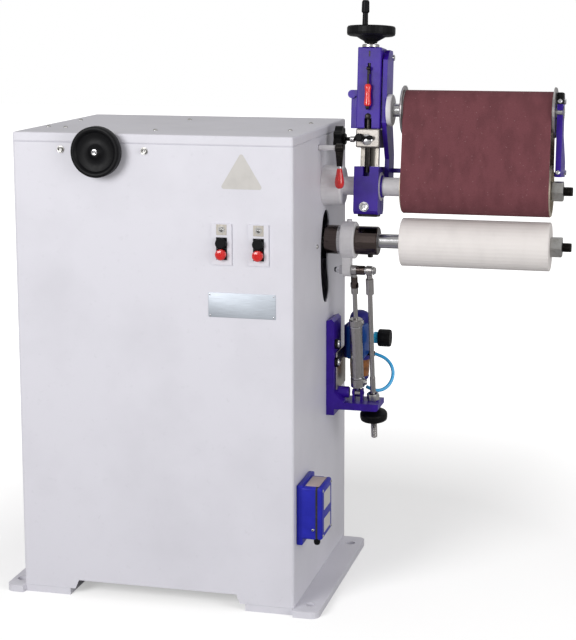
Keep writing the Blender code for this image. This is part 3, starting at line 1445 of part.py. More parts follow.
def cylinder_parts(cylinder, length):
    """Air cylinder pinned at its foot, and its rod with a lock nut and an eye on the link pin."""
    body = turned(
        "cylinder_body",
        "bright_steel",
        [
            (0.0060, 0.0058),
            (0.0060, 0.016),
            (CYLINDER_RADIUS + 0.002, 0.017),
            (CYLINDER_RADIUS + 0.002, 0.036),
            (CYLINDER_RADIUS, 0.037),
            (CYLINDER_RADIUS, 0.163),
            (CYLINDER_RADIUS + 0.0015, 0.164),
            (CYLINDER_RADIUS + 0.0015, 0.177),
            (CYLINDER_RADIUS - 0.001, 0.179),
            (PISTON_ROD_RADIUS + GAP, 0.179),
            (PISTON_ROD_RADIUS + GAP, 0.168),
            (CYLINDER_RADIUS - 0.003, 0.168),
            (CYLINDER_RADIUS - 0.003, 0.045),
        ],
        direction=ALONG_Z,
        segments=24,
        parent=cylinder,
    )
    eye_loops = [circle((0, 0), EYE_RADIUS - 0.002), circle((0, 0), BASE_PIN_RADIUS + GAP, 20)]
    join(body, outline("base_eye_join", None, eye_loops, EYE_WIDTH, PLATE_YZ, parent=cylinder))
    piston = turned(
        "cylinder_rod",
        "bright_steel",
        [
            (CYLINDER_RADIUS - 0.003 - GAP, 0.104),
            (CYLINDER_RADIUS - 0.003 - GAP, 0.118),
            (PISTON_ROD_RADIUS, 0.118),
            (PISTON_ROD_RADIUS, length - 0.056),
            (0.0080, length - 0.055),
            (0.0080, length - 0.030),
            (0.0060, length - 0.029),
            (0.0060, length - EYE_RADIUS + 0.002),
        ],
        direction=ALONG_Z,
        segments=20,
        parent=cylinder,
    )
    pin_hole = circle((0, length), LINK_PIN_RADIUS + PIVOT_CLEARANCE, 20)
    rod_eye = [circle((0, length), EYE_RADIUS), pin_hole]
    join(piston, outline("rod_eye_join", None, rod_eye, EYE_WIDTH, PLATE_YZ, parent=cylinder))


def stop_parts(stop):
    """Stop rod hanging from the link pin through the guide bush, with its hand knob below."""
    body = turned(
        "stop_rod",
        "bright_steel",
        [
            (STOP_ROD_RADIUS - 0.001, -STOP_ROD_LENGTH),
            (STOP_ROD_RADIUS, -STOP_ROD_LENGTH + 0.001),
            (STOP_ROD_RADIUS, -STOP_THREAD_TOP),
            (STOP_ROD_RADIUS - 0.001, -STOP_THREAD_TOP),
            (STOP_ROD_RADIUS - 0.001, -0.056),
            (0.0090, -0.055),
            (0.0090, -0.020),
            (0.0065, -0.018),
            (0.0065, -EYE_RADIUS + 0.002),
        ],
        direction=ALONG_Z,
        segments=16,
        parent=stop,
    )
    eye = [circle((0, 0), EYE_RADIUS), circle((0, 0), LINK_PIN_RADIUS + GAP, 20)]
    join(body, outline("stop_eye_join", None, eye, EYE_WIDTH, PLATE_YZ, parent=stop))
    top = -STOP_KNOB_TOP
    bore = STOP_ROD_RADIUS + GAP
    turned(
        "stop_knob",
        "black_plastic",
        [
            (0.0260, top - 0.026),
            (0.0300, top - 0.024),
            (0.0310, top - 0.020),
            (0.0310, top - 0.011),
            (0.0290, top - 0.008),
            (0.0100, top - 0.004),
            (0.0100, top),
        ],
        bore=[(bore, top - 0.026), (bore, top)],
        direction=ALONG_Z,
        segments=28,
        parent=stop,
    )


def air_parts():
    """Regulator with its mounting plate and bowl, the valve knob and the hose to the cylinder."""
    x, y = REGULATOR_X, REGULATOR_Y
    low, high = (x - 0.034, y - 0.026, 0.455), (x + 0.034, y + 0.026, 0.545)
    regulator = box("air_regulator", "bright_blue_plastic", low, high, 0.006)
    dome = turned(
        "regulator_dome_join",
        None,
        [(0.023, 0.540), (0.023, 0.556), (0.019, 0.565), (0.010, 0.570)],
        direction=ALONG_Z,
        at=(x, y, 0),
        segments=28,
    )
    join(regulator, dome)
    leg = SIDE_X + GAP + BRACKET_LEG + GAP
    plate_low, plate_high = (leg, BRACKET_Y1 - 0.030, 0.400), (leg + 0.004, y, 0.490)
    join(regulator, box("regulator_plate_join", None, plate_low, plate_high))
    knob_x = x + 0.034 + 0.010
    neck = (x + 0.024, knob_x + 0.002)
    valve_at = (0, y, VALVE_Z)
    bore = (neck[0] - GAP, neck[1] + 0.01)
    cut(regulator, rod("valve_bore", None, 0.0070 + GAP, *bore, at=valve_at))
    turned(
        "filter_bowl",
        "amber_plastic",
        [(0.012, 0.404), (0.020, 0.408), (0.0235, 0.418), (0.0235, 0.455 - GAP)],
        direction=ALONG_Z,
        at=(x, y, 0),
        segments=28,
    )
    turned(
        "valve_knob",
        "black_plastic",
        [
            (0.0070, neck[0]),
            (0.0070, x + 0.034 + GAP),
            (0.0135, x + 0.034 + GAP),
            (0.0135, knob_x - 0.002),
            (VALVE_RADIUS - 0.002, knob_x),
            (VALVE_RADIUS, knob_x + 0.002),
            (VALVE_RADIUS, knob_x + 0.026),
            (VALVE_RADIUS - 0.002, knob_x + 0.028),
        ],
        at=valve_at,
        segments=32,
    )
    route = smooth_route(HOSE_ROUTE, 3)
    tube("air_hose", "bright_blue_plastic", route, HOSE_RADIUS)


# Tools and pieces share these places.
JOURNAL_RADIUS = 0.0082
SCREW_TIP = 0.030
GUIDE_Y = SCREW_Y + SCREW_RADIUS + 0.010
STAR_Y = 0.020
STAR_Z = COLUMN_BOTTOM - 0.023
STAR_ROD_RADIUS = 0.0045
STAR_ROD_END = HEAD_X - COLUMN_WIDTH / 2 + 0.004
LOCK_X = HEAD_X - 0.016
LOCK_Z = COLUMN_BOTTOM - 0.020
LOCK_STUD_RADIUS = 0.0035
LOCK_STUD_END = -COLUMN_DEPTH / 2 + 0.008
RELEASE_Z = COLUMN_TOP - 0.046
LEVER_X = 0.352
LEVER_Y = DRUM_AXIS_Y - BOSS_RADIUS - 0.014
LEVER_Z = DRUM_AXIS_Z + 0.088
LEVER_STUD_RADIUS = 0.006
TONGUE_X = CYLINDER_X - EYE_WIDTH / 2 - 0.0005 - TONGUE_THICKNESS
STOP_PIN_Y = FEED_AXIS_Y
STOP_PIN_Z = FEED_AXIS_Z - LINK_DROP
STOP_SPAN = math.hypot(STOP_PIN_Y - BASE_PIN_Y, STOP_PIN_Z - BASE_PIN_Z)
LINK_LEAN = -math.atan2(STOP_PIN_Y - BASE_PIN_Y, STOP_PIN_Z - BASE_PIN_Z)
STOP_THREAD_TOP = STOP_SPAN - 0.040
STOP_KNOB_TOP = STOP_SPAN + 0.0375
HOSE_ROUTE = [
    (0.3978, 0.4020, 0.4700),
    (0.4204, 0.4013, 0.4614),
    (0.4345, 0.3991, 0.4483),
    (0.4409, 0.3952, 0.4329),
    (0.4405, 0.3893, 0.4173),
    (0.4343, 0.3812, 0.4039),
    (0.4234, 0.3706, 0.3955),
    (0.4090, 0.3580, 0.3950),
    (0.3912, 0.3420, 0.4060),
]

clear_scene()
PARTS = new_collection("drum_sander")
CUTTERS = new_collection("cutters")
ROOT = None
ROOT = empty("machine", (-ORIGIN_X, -ORIGIN_Y, RAIL_THICKNESS))

cabinet_body()
top_cover()
back_panel()
base_rail("base_rail_left", -1, FLANGE_LEFT)
base_rail("base_rail_right", 1, FLANGE_RIGHT)
motor_shelf()
control_station("left", STATION_LEFT_X)
control_station("right", STATION_RIGHT_X)
speed_dial()
control_box()
drive()

HEAD = empty("head_frame", (0, DRUM_AXIS_Y, DRUM_AXIS_Z), (-HEAD_LEAN, 0, 0), ROOT)
head_clamp(HEAD)
guide(HEAD)
sanding_belt(HEAD)
CARRIAGE = empty("carriage_frame", (0, 0, 0), parent=HEAD)
slide_block(CARRIAGE)
column(CARRIAGE)
idler_frame(CARRIAGE)
star_knob(CARRIAGE)
handwheel(empty("wheel_frame", (HEAD_X, SCREW_Y, 0), parent=CARRIAGE))
release_lever(empty("release_frame", (HEAD_X, -COLUMN_DEPTH / 2, RELEASE_Z), parent=CARRIAGE))
lock_handle(empty("lock_frame", (LOCK_X, 0, LOCK_Z), parent=CARRIAGE))
swing_lever(empty("swing_frame", (0, LEVER_Y, LEVER_Z), parent=ROOT))

pivot_shaft()
feed_parts(empty("feed_frame", (0, PIVOT_Y, PIVOT_Z), parent=ROOT))
side_bracket()
TILT = (LINK_LEAN, 0, 0)
cylinder_parts(empty("cylinder_frame", (CYLINDER_X, BASE_PIN_Y, BASE_PIN_Z), TILT, ROOT), STOP_SPAN)
stop_parts(empty("stop_frame", (STOP_ROD_X, STOP_PIN_Y, STOP_PIN_Z), TILT, ROOT))
air_parts()
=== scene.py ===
"""Looks of a belt drum sander: finishes, fastenings, controls, small fittings and a plain stage."""

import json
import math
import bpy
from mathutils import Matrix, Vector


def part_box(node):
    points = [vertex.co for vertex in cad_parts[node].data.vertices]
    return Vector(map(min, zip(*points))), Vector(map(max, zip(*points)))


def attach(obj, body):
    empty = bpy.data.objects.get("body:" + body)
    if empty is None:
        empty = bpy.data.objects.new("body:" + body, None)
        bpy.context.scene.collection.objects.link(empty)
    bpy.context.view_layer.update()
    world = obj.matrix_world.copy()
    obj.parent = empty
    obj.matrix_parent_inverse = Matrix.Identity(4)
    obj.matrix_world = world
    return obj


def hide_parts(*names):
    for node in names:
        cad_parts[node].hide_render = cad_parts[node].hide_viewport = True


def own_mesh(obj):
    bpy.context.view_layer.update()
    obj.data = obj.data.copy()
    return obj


bl_info = {
    "name": "Drum sander looks", "version": (1, 0, 0), "blender": (4, 5, 0),
    "location": "View3D > Sidebar > Drum sander",
    "description": "Finishes and details for a belt drum sander with a swinging feed roller",
    "category": "Object"
}

import bmesh
import bpy
from mathutils import Matrix, Vector

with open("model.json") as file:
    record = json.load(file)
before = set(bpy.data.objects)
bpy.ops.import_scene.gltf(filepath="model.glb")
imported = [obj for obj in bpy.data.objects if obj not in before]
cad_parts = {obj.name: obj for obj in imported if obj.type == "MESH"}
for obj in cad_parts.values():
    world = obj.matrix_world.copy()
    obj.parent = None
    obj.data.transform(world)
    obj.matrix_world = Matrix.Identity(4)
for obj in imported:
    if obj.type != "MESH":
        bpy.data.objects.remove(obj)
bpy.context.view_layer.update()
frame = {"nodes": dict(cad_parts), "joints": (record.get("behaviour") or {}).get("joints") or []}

NODES = frame["nodes"]
JOINTS = {joint["name"]: joint for joint in frame["joints"]}
MM = 0.001
# Edges that turn by more than this many degrees stay crisp.
SHARP_ANGLE = 35
# Vertices closer than this are one vertex.
WELD = 1e-6
# The side bracket's leg stands this far to the right of the bracket's left side.
BRACKET_LEG = 18.6 * MM
# One period of the wave texture, in its own units.
WAVE_PERIOD = 6.28
UP = Vector((0, 0, 1))
RIGHT = Vector((1, 0, 0))
BACK = Vector((0, 1, 0))


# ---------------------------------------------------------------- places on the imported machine


def facing(origin, normal, up=UP):
    """A frame at origin whose Z is the outward normal and whose Y points along up."""
    z = Vector(normal).normalized()
    y = (Vector(up) - z * z.dot(Vector(up))).normalized()
    x = y.cross(z)
    turn = Matrix((x, y, z)).transposed().to_4x4()
    return Matrix.Translation(origin) @ turn


def extent(node, local=None):
    """Lowest and highest corner of a CAD node, measured in the given frame."""
    back = (local or Matrix.Identity(4)).inverted()
    places = [back @ vert.co for vert in NODES[node].data.vertices]
    low = Vector([min(p[i] for p in places) for i in range(3)])
    high = Vector([max(p[i] for p in places) for i in range(3)])
    return low, high


def pivot(joint):
    return Vector(JOINTS[joint]["pos_m"])


def axis(joint):
    return Vector(JOINTS[joint]["axis"]).normalized()


def along(joint_axis, origin):
    """A frame at origin with Z along the axis and X to the machine's right."""
    z = Vector(joint_axis).normalized()
    y = z.cross(RIGHT).normalized()
    turn = Matrix((RIGHT, y, z)).transposed().to_4x4()
    return Matrix.Translation(origin) @ turn


def corners(box):
    """Lowest and highest corner of a box, as vectors."""
    return Vector(box[0]), Vector(box[1])


def raised(place, distance):
    """The same frame, moved along its own Z."""
    return place @ Matrix.Translation((0, 0, distance))


BODY_LOW, BODY_HIGH = corners(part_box("cabinet_body"))
COVER_LOW, COVER_HIGH = corners(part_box("top_cover"))
MIDDLE_X = (BODY_LOW.x + BODY_HIGH.x) / 2
DRUM = pivot("head_swing")
FEED = pivot("feed_roller_spin")
HEAD = along(axis("carriage_slide"), Vector((0, DRUM.y, DRUM.z)))
LINK = along(axis("cylinder_stroke"), pivot("cylinder_tilt"))
STOP = along(axis("stop_knob_turn"), pivot("stop_rod_tilt"))
RAIL_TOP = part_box("base_rail_right")[1][2]


def on_front(x, z, proud=0.0):
    """A frame on the cabinet's front face: X to the right, Y up, Z outwards."""
    return facing((MIDDLE_X + x, BODY_LOW.y - proud, RAIL_TOP + z), -BACK)


def on_side(y, z, proud=0.0):
    return facing((BODY_HIGH.x + proud, BODY_LOW.y + y, RAIL_TOP + z), RIGHT)


def on_top(x, y):
    return facing((MIDDLE_X + x, COVER_LOW.y + y, COVER_HIGH.z), UP, BACK)


# ---------------------------------------------------------------- sizes and colours


def linear(colour):
    """Linear RGBA of an sRGB hex colour such as #4b2ba4."""
    channels = [int(colour[i : i + 2], 16) / 255 for i in (1, 3, 5)]
    return [c / 12.92 if c <= 0.04045 else ((c + 0.055) / 1.055) ** 2.4 for c in channels] + [1.0]


def colour_property(label, text, colour):
    return bpy.props.FloatVectorProperty(
        name=label, description=text, subtype="COLOR", size=4, min=0.0, max=1.0, default=linear(colour)
    )


def length_property(label, text, value):
    return bpy.props.FloatProperty(name=label, description=text, default=value, min=0.0, unit="LENGTH")


class SanderColours(bpy.types.PropertyGroup):
    """Colours of the machine's finishes."""

    enamel: colour_property("Enamel", "Pale grey enamel of the cabinet and castings", "#dddce4")
    violet: colour_property("Violet enamel", "Violet-blue enamel of head, arms and bracket", "#3a189a")
    # Casting enamel is the cabinet's enamel painted lighter: painted light on the housing, hanger and
    # other cast parts.
    casting: colour_property("Casting enamel", "Enamel of the housing and the hanger", "#e6e4e6")
    cloth: colour_property("Abrasive", "Abrasive side of the sanding belt", "#744349")
    sleeve: colour_property("Feed sleeve", "Rubber sleeve of the feed roller", "#e6e1de")
    enclosure: colour_property("Enclosure", "Moulded control box", "#282ba0")
    hose: colour_property("Air hose", "Polyurethane air hose", "#3dbcfb")
    red: colour_property("Red grips", "Lever grips and stop buttons", "#e3211f")
    black: colour_property("Black plastic", "Knobs, wheels and start buttons", "#0f0f11")
    label: colour_property("Blank labels", "Stickers without any print", "#c9c6c2")


class SanderSizes(bpy.types.PropertyGroup):
    """Sizes of the small fittings."""

    cover_screw: length_property("Cover screw", "Radius of a cover screw's head", 5.0 * MM)
    cap_screw: length_property("Cap screw", "Radius of a panel cap screw's head", 6.0 * MM)
    bolt: length_property("Bolt", "Radius of a hexagon bolt's head", 8.5 * MM)
    set_screw: length_property("Set screw", "Radius of a collar's set screw", 6.0 * MM)
    thread_pitch: length_property("Thread pitch", "Pitch of the drum and roller threads", 1.5 * MM)
    triangle: length_property("Triangle", "Width of the blank triangular sticker", 85.0 * MM)
    plate_width: length_property("Plate width", "Width of the bare rating plate", 145.0 * MM)
    plate_height: length_property("Plate height", "Height of the bare rating plate", 52.0 * MM)


def colours():
    return bpy.context.scene.sander_colours


def sizes():
    return bpy.context.scene.sander_sizes


# ---------------------------------------------------------------- materials

# The materials already made, by name.
MADE = {}


def add_node(tree, kind, inputs=None, **settings):
    """Adds a shader node, sets its settings, and links or sets its inputs."""
    node = tree.nodes.new("ShaderNode" + kind)
    for name, value in settings.items():
        setattr(node, name, value)
    for name, value in (inputs or {}).items():
        if isinstance(value, bpy.types.NodeSocket):
            tree.links.new(value, node.inputs[name])
        else:
            node.inputs[name].default_value = value
    return node


def new_surface(name, colour, roughness, **values):
    """Makes a material with a Principled shader, keeps it under its name and gives the shader."""
    MADE[name] = bpy.data.materials.new(name)
    MADE[name].use_nodes = True
    skin = MADE[name].node_tree.nodes["Principled BSDF"]
    skin.inputs["Base Color"].default_value = colour
    skin.inputs["Roughness"].default_value = roughness
    for socket, value in values.items():
        skin.inputs[socket.replace("_", " ")].default_value = value
    return skin


def blotches(skin, size, detail=3.0, stretch=(1, 1, 1), roughness=0.5):
    """A mottled pattern with blotches about size metres across, stretched along the axes."""
    tree = skin.id_data
    place = add_node(tree, "TexCoord")
    scaled = add_node(
        tree, "Mapping", {"Vector": place.outputs["Object"], "Scale": [1 / (size * s) for s in stretch]}
    )
    texture = add_node(
        tree, "TexNoise",
        {"Vector": scaled.outputs["Vector"], "Scale": 1.0, "Detail": detail, "Roughness": roughness}
    )
    return texture.outputs["Fac"]


def drawn(skin, pattern):
    """The output of a pattern, which is blotches where only their numbers are given."""
    return blotches(skin, *pattern) if isinstance(pattern, tuple) else pattern


def stain(skin, pattern, other, low=0.35, high=0.7, amount=1.0):
    """Stains the surface with another colour where the pattern rises from low to high."""
    tree, socket = skin.id_data, skin.inputs["Base Color"]
    ramp = add_node(
        tree, "MapRange",
        {
            "Value": drawn(skin, pattern), "From Min": low, "From Max": high, "To Min": 0.0,
            "To Max": amount
        }
    )
    blend = add_node(tree, "Mix", {0: ramp.outputs["Result"], 7: other}, data_type="RGBA")
    if socket.is_linked:
        tree.links.new(socket.links[0].from_socket, blend.inputs[6])
    else:
        blend.inputs[6].default_value = socket.default_value
    tree.links.new(blend.outputs[2], socket)


def polish(skin, pattern, low, high):
    """Lets the roughness wander between low and high with the pattern."""
    tree = skin.id_data
    ramp = add_node(tree, "MapRange", {"Value": drawn(skin, pattern), "To Min": low, "To Max": high})
    tree.links.new(ramp.outputs["Result"], skin.inputs["Roughness"])


def raise_grain(skin, pattern, depth, strength=1.0):
    """Raises the pattern on the surface, depth metres high, over any grain already there."""
    tree, socket = skin.id_data, skin.inputs["Normal"]
    height = drawn(skin, pattern)
    bump = add_node(tree, "Bump", {"Height": height, "Distance": depth, "Strength": strength})
    if socket.is_linked:
        tree.links.new(socket.links[0].from_socket, bump.inputs["Normal"])
    tree.links.new(bump.outputs["Normal"], socket)


def shade(colour, factor):
    """The same colour, darker or lighter."""
    return [min(1.0, channel * factor) for channel in colour[:3]] + [1.0]


def enamel_on_sheet():
    """Baked enamel on folded steel sheet: soft sheen, faint orange peel, light handling marks."""
    colour = colours().enamel
    skin = new_surface("enamel_on_sheet", colour, 0.4, Specular_IOR_Level=0.45)
    stain(skin, (0.16, 4), shade(colour, 0.93), 0.42, 0.72)
    stain(skin, (0.012, 5), shade(colour, 0.90), 0.62, 0.80, 0.6)
    polish(skin, (0.06, 3), 0.34, 0.48)
    # Orange peel is about 1.5 mm across; drawn at 5 mm so that it shows.
    raise_grain(skin, (5 * MM, 2), 0.06 * MM, 0.6)


def casting_enamel_painted_light():
    """The same enamel sprayed over sand-cast iron: thicker, with the casting's soft lumps under it. Its
    colour is painted lighter than the cabinet's: painted light on the cast parts.
    """
    colour = colours().casting
    skin = new_surface("casting_enamel_painted_light", colour, 0.36, Specular_IOR_Level=0.5)
    stain(skin, (0.03, 4), shade(colour, 0.88), 0.45, 0.75)
    polish(skin, (0.02, 3), 0.28, 0.46)
    raise_grain(skin, (4 * MM, 3), 0.20 * MM, 0.7)


def violet_enamel():
    """Glossy machine enamel in violet blue, brushed thickly, a little paler where it is rubbed."""
    colour = colours().violet
    skin = new_surface(
        "violet_enamel", colour, 0.38, Specular_IOR_Level=0.24, Coat_Weight=0.06, Coat_Roughness=0.15
    )
    stain(skin, (0.035, 4), shade(colour, 0.72), 0.40, 0.72)
    stain(skin, (3 * MM, 4), linear("#6d55c4"), 0.66, 0.78, 0.5)
    polish(skin, (0.015, 3), 0.24, 0.42)
    raise_grain(skin, (3 * MM, 3), 0.12 * MM, 0.6)


def drawn_steel(name, colour, roughness, lengthwise):
    """Cold-drawn round bar: smooth and bright, faint streaks along its length, a few dull stains."""
    skin = new_surface(name, linear(colour), roughness, Metallic=1.0)
    # Drawing marks are 0.1 to 0.2 mm apart; drawn wider so that they show.
    streaks = blotches(skin, 1.2 * MM, 3, lengthwise)
    stain(skin, streaks, shade(linear(colour), 0.80), 0.42, 0.70)
    stain(skin, (0.014, 4), shade(linear(colour), 0.70), 0.60, 0.84, 0.6)
    polish(skin, streaks, roughness * 0.85, roughness * 1.25)


def ground_steel():
    """Steel plate after surface grinding: straight fine scratches and a warm grey tint."""
    colour = linear("#c3bdb4")
    skin = new_surface("ground_steel", colour, 0.34, Metallic=1.0)
    scratches = blotches(skin, 0.7 * MM, 3, (1, 1, 40))
    stain(skin, scratches, shade(colour, 0.68), 0.40, 0.70)
    polish(skin, scratches, 0.26, 0.46)
    raise_grain(skin, scratches, 0.03 * MM, 0.5)


def machined_iron():
    """Milled grey iron: matt, light, with pores and a few dark oil stains."""
    colour = linear("#9c9792")
    skin = new_surface("machined_iron", colour, 0.36, Metallic=1.0)
    stain(skin, (2 * MM, 4), shade(colour, 0.55), 0.55, 0.75, 0.8)
    stain(skin, (14 * MM, 3), shade(colour, 0.6), 0.50, 0.80, 0.7)
    raise_grain(skin, (1.2 * MM, 3), 0.08 * MM, 0.7)


def hammered_iron():
    """Blue-grey hammered paint on the motor and gear casings inside the cabinet."""
    colour = linear("#69717a")
    skin = new_surface("hammered_iron", colour, 0.45, Metallic=0.3)
    stain(skin, (5 * MM, 2), shade(colour, 0.7), 0.45, 0.65)
    raise_grain(skin, (4 * MM, 2), 0.25 * MM, 0.7)


def zinc_plate():
    """Zinc-plated nut or washer: cool bright grey with faint yellow passivation."""
    colour = linear("#b9b8b6")
    skin = new_surface("zinc_plate", colour, 0.3, Metallic=1.0)
    stain(skin, (7 * MM, 3), linear("#9b978f"), 0.45, 0.80, 0.6)
    polish(skin, (2 * MM, 3), 0.22, 0.42)


def black_oxide_and_painted_shade():
    """Blackened steel screw or thread: dark brown-black with oiled highlights. The same finish also
    paints the shade in screw-head crosses and in the column's slot.
    """
    colour = linear("#2c2a29")
    skin = new_surface("black_oxide_and_painted_shade", colour, 0.34, Metallic=1.0)
    stain(skin, (3 * MM, 4), linear("#4a4440"), 0.50, 0.78)
    polish(skin, (2 * MM, 3), 0.26, 0.45)


def chrome():
    """Polished chrome with a trace of fingerprints."""
    skin = new_surface("chrome", linear("#d9d9db"), 0.12, Metallic=1.0)
    stain(skin, (8 * MM, 3), linear("#a9a9ad"), 0.50, 0.80)
    polish(skin, (5 * MM, 3), 0.08, 0.2)


def moulded_abs(name, colour, roughness=0.42, grain=0.8 * MM, gloss=0.12):
    """Injection-moulded ABS: even colour, fine spark texture, slightly greasy sheen."""
    skin = new_surface(name, colour, roughness, Specular_IOR_Level=gloss)
    stain(skin, (0.02, 3), shade(colour, 1.25), 0.45, 0.75, 0.7)
    polish(skin, (6 * MM, 3), roughness * 0.8, roughness * 1.25)
    raise_grain(skin, (grain, 2), 0.05 * MM, 0.6)


def dipped_plastic(name, colour):
    """Glossy dipped PVC grip: smooth, wet-looking, thin at the edges."""
    skin = new_surface(
        name, colour, 0.16, Coat_Weight=0.6, Coat_Roughness=0.05, Subsurface_Weight=0.08,
        Subsurface_Scale=2 * MM
    )
    stain(skin, (9 * MM, 3), shade(colour, 0.78), 0.45, 0.75)
    raise_grain(skin, (4 * MM, 2), 0.05 * MM, 0.4)


def resin_bonded_cloth():
    """Aluminium-oxide grit bonded to cloth: dark red-brown, rough, speckled, with rubbed streaks."""
    colour = colours().cloth
    skin = new_surface("resin_bonded_cloth", colour, 0.82, Specular_IOR_Level=0.2)
    # Grit of 0.25 mm is drawn at 1 mm so that it shows.
    grit = blotches(skin, 1.0 * MM, 2, roughness=0.7)
    stain(skin, (0.05, 6, (0.5, 1, 1)), shade(colour, 0.82), 0.45, 0.62)
    stain(skin, grit, shade(colour, 0.55), 0.48, 0.70, 0.8)
    tree = skin.id_data
    place = add_node(tree, "TexCoord")
    specks = add_node(tree, "TexVoronoi", {"Vector": place.outputs["Object"], "Scale": 1 / (9 * MM)})
    bright = add_node(
        tree, "MapRange",
        {
            "Value": specks.outputs["Distance"], "From Min": 0.05, "From Max": 0.12, "To Min": 1.0,
            "To Max": 0.0
        }
    )
    stain(skin, bright.outputs["Result"], linear("#a98587"), 0.0, 1.0, 0.55)
    raise_grain(skin, grit, 0.20 * MM, 0.8)


def belt_backing():
    """Cotton backing of the belt: cream twill, matt."""
    colour = linear("#d8c8b4")
    skin = new_surface("belt_backing", colour, 0.9, Sheen_Weight=0.2)
    tree = skin.id_data
    place = add_node(tree, "TexCoord")
    twill = add_node(
        tree, "TexWave",
        {"Vector": place.outputs["Object"], "Scale": 1 / (2.0 * MM) / WAVE_PERIOD, "Distortion": 1.0},
        bands_direction="DIAGONAL"
    )
    stain(skin, twill.outputs["Fac"], shade(colour, 0.8), 0.3, 0.9)
    raise_grain(skin, twill.outputs["Fac"], 0.10 * MM, 0.6)


def rubber_sleeve():
    """White nitrile sleeve ground round: matt, faintly mottled, with light wear bands."""
    colour = colours().sleeve
    skin = new_surface("rubber_sleeve", colour, 0.55, Specular_IOR_Level=0.35)
    stain(skin, (0.05, 3, (0.6, 1, 1)), shade(colour, 0.95), 0.45, 0.75)
    stain(skin, (4 * MM, 4), shade(colour, 0.90), 0.66, 0.82, 0.5)
    raise_grain(skin, (2 * MM, 3), 0.06 * MM, 0.5)


def belt_rubber():
    """Rubber V-belt: matt black with dusty flanks."""
    colour = linear("#1d1c1c")
    skin = new_surface("belt_rubber", colour, 0.75)
    stain(skin, (0.01, 4), linear("#3a3836"), 0.50, 0.75)
    raise_grain(skin, (1.5 * MM, 3), 0.12 * MM)


def brushed_aluminium(name, colour):
    """Bare aluminium plate brushed along its length."""
    skin = new_surface(name, linear(colour), 0.55, Metallic=1.0)
    lines = blotches(skin, 0.5 * MM, 3, (60, 1, 1))
    stain(skin, lines, shade(linear(colour), 0.8), 0.40, 0.70)
    polish(skin, lines, 0.5, 0.66)


def amber_bowl():
    """Polycarbonate filter bowl: clear amber with an oily film at the bottom."""
    skin = new_surface("amber_bowl", linear("#a9662a"), 0.14, Transmission_Weight=0.25, IOR=1.58)
    stain(skin, (12 * MM, 3), linear("#6e3d14"), 0.45, 0.75)


def polyurethane_hose():
    """Blue polyurethane air hose: smooth, faintly milky, glossy."""
    colour = colours().hose
    skin = new_surface("polyurethane_hose", colour, 0.24, Coat_Weight=0.25, Coat_Roughness=0.08)
    stain(skin, (22 * MM, 2), shade(colour, 0.85), 0.45, 0.80)
    polish(skin, (6 * MM, 2), 0.2, 0.32)


def blank_sticker(name, colour):
    """Vinyl sticker in one colour, with nothing printed on it."""
    skin = new_surface(name, colour, 0.35)
    stain(skin, (0.02, 3), shade(colour, 0.93), 0.45, 0.75)


MAKERS = {
    "enamel_on_sheet": enamel_on_sheet, "casting_enamel_painted_light": casting_enamel_painted_light,
    "violet_enamel": violet_enamel,
    "bright_shaft": lambda: drawn_steel("bright_shaft", "#c6c5c6", 0.2, (70, 1, 1)),
    "dull_cheek": lambda: drawn_steel("dull_cheek", "#a9a6a6", 0.34, (1, 9, 9)),
    "upright_steel": lambda: drawn_steel("upright_steel", "#b4b1b0", 0.2, (1, 1, 90)),
    "collar_steel": lambda: drawn_steel("collar_steel", "#5b514e", 0.15, (70, 1, 1)),
    "ground_steel": ground_steel, "machined_iron": machined_iron, "hammered_iron": hammered_iron,
    "zinc_plate": zinc_plate, "black_oxide_and_painted_shade": black_oxide_and_painted_shade, "chrome": chrome,
    "black_abs": lambda: moulded_abs("black_abs", colours().black),
    "blue_abs": lambda: moulded_abs("blue_abs", colours().enclosure, 0.32, 1.2 * MM),
    "violet_nylon": lambda: moulded_abs("violet_nylon", linear("#2c2a78"), 0.4),
    "regulator_blue": lambda: moulded_abs("regulator_blue", linear("#16428c"), 0.3),
    "cyan_ring": lambda: moulded_abs("cyan_ring", linear("#3cc4ee"), 0.3),
    "red_grip": lambda: dipped_plastic("red_grip", colours().red),
    "red_button": lambda: dipped_plastic("red_button", shade(colours().red, 0.85)),
    "resin_bonded_cloth": resin_bonded_cloth, "belt_backing": belt_backing,
    "rubber_sleeve": rubber_sleeve, "belt_rubber": belt_rubber,
    "bare_plate": lambda: brushed_aluminium("bare_plate", "#c4cad2"),
    "cast_drum": lambda: brushed_aluminium("cast_drum", "#cfc6b6"), "amber_bowl": amber_bowl,
    "polyurethane_hose": polyurethane_hose,
    "blank_sticker": lambda: blank_sticker("blank_sticker", colours().label),
    "beige_panel": lambda: blank_sticker("beige_panel", linear("#b9a7a2"))
}


def finish(name):
    """The finish of this name, made when it is first asked for."""
    if name not in MADE:
        MAKERS[name]()
    return MADE[name]


def finish_nodes(name, *nodes):
    """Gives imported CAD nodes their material, with smooth turned faces."""
    for node in nodes:
        mesh = NODES[node].data
        mesh.materials.clear()
        mesh.materials.append(finish(name))
        mesh.shade_smooth()
        mesh.set_sharp_from_angle(angle=math.radians(SHARP_ANGLE))


# ---------------------------------------------------------------- shapes


def ring(shape, local, radius, height, steps, sides=0):
    """A ring of vertices, round or with flat sides."""
    sector = 2 * math.pi / sides if sides else 0
    made = []
    for i in range(steps):
        turn = 2 * math.pi * i / steps
        reach = radius
        if sides:
            reach *= math.cos(sector / 2) / math.cos(turn % sector - sector / 2)
        point = Vector((reach * math.cos(turn), reach * math.sin(turn), height))
        made.append(shape.verts.new(local @ point))
    return made


def in_mm(profile):
    """A profile written in millimetres, in metres. A third number, of flat sides, stays."""
    return [(radius * MM, height * MM, *sides) for radius, height, *sides in profile]


def add_turned(shape, local, profile, steps=48, closed=False):
    """Turns a profile of (radius, height) or (radius, height, flat sides) round local Z."""
    rings = [ring(shape, local, entry[0], entry[1], steps, *entry[2:]) for entry in profile]
    pairs = list(zip(rings, rings[1:]))
    if closed:
        pairs.append((rings[-1], rings[0]))
    for lower, upper in pairs:
        for i in range(steps):
            shape.faces.new((lower[i - 1], lower[i], upper[i], upper[i - 1]))
    return shape


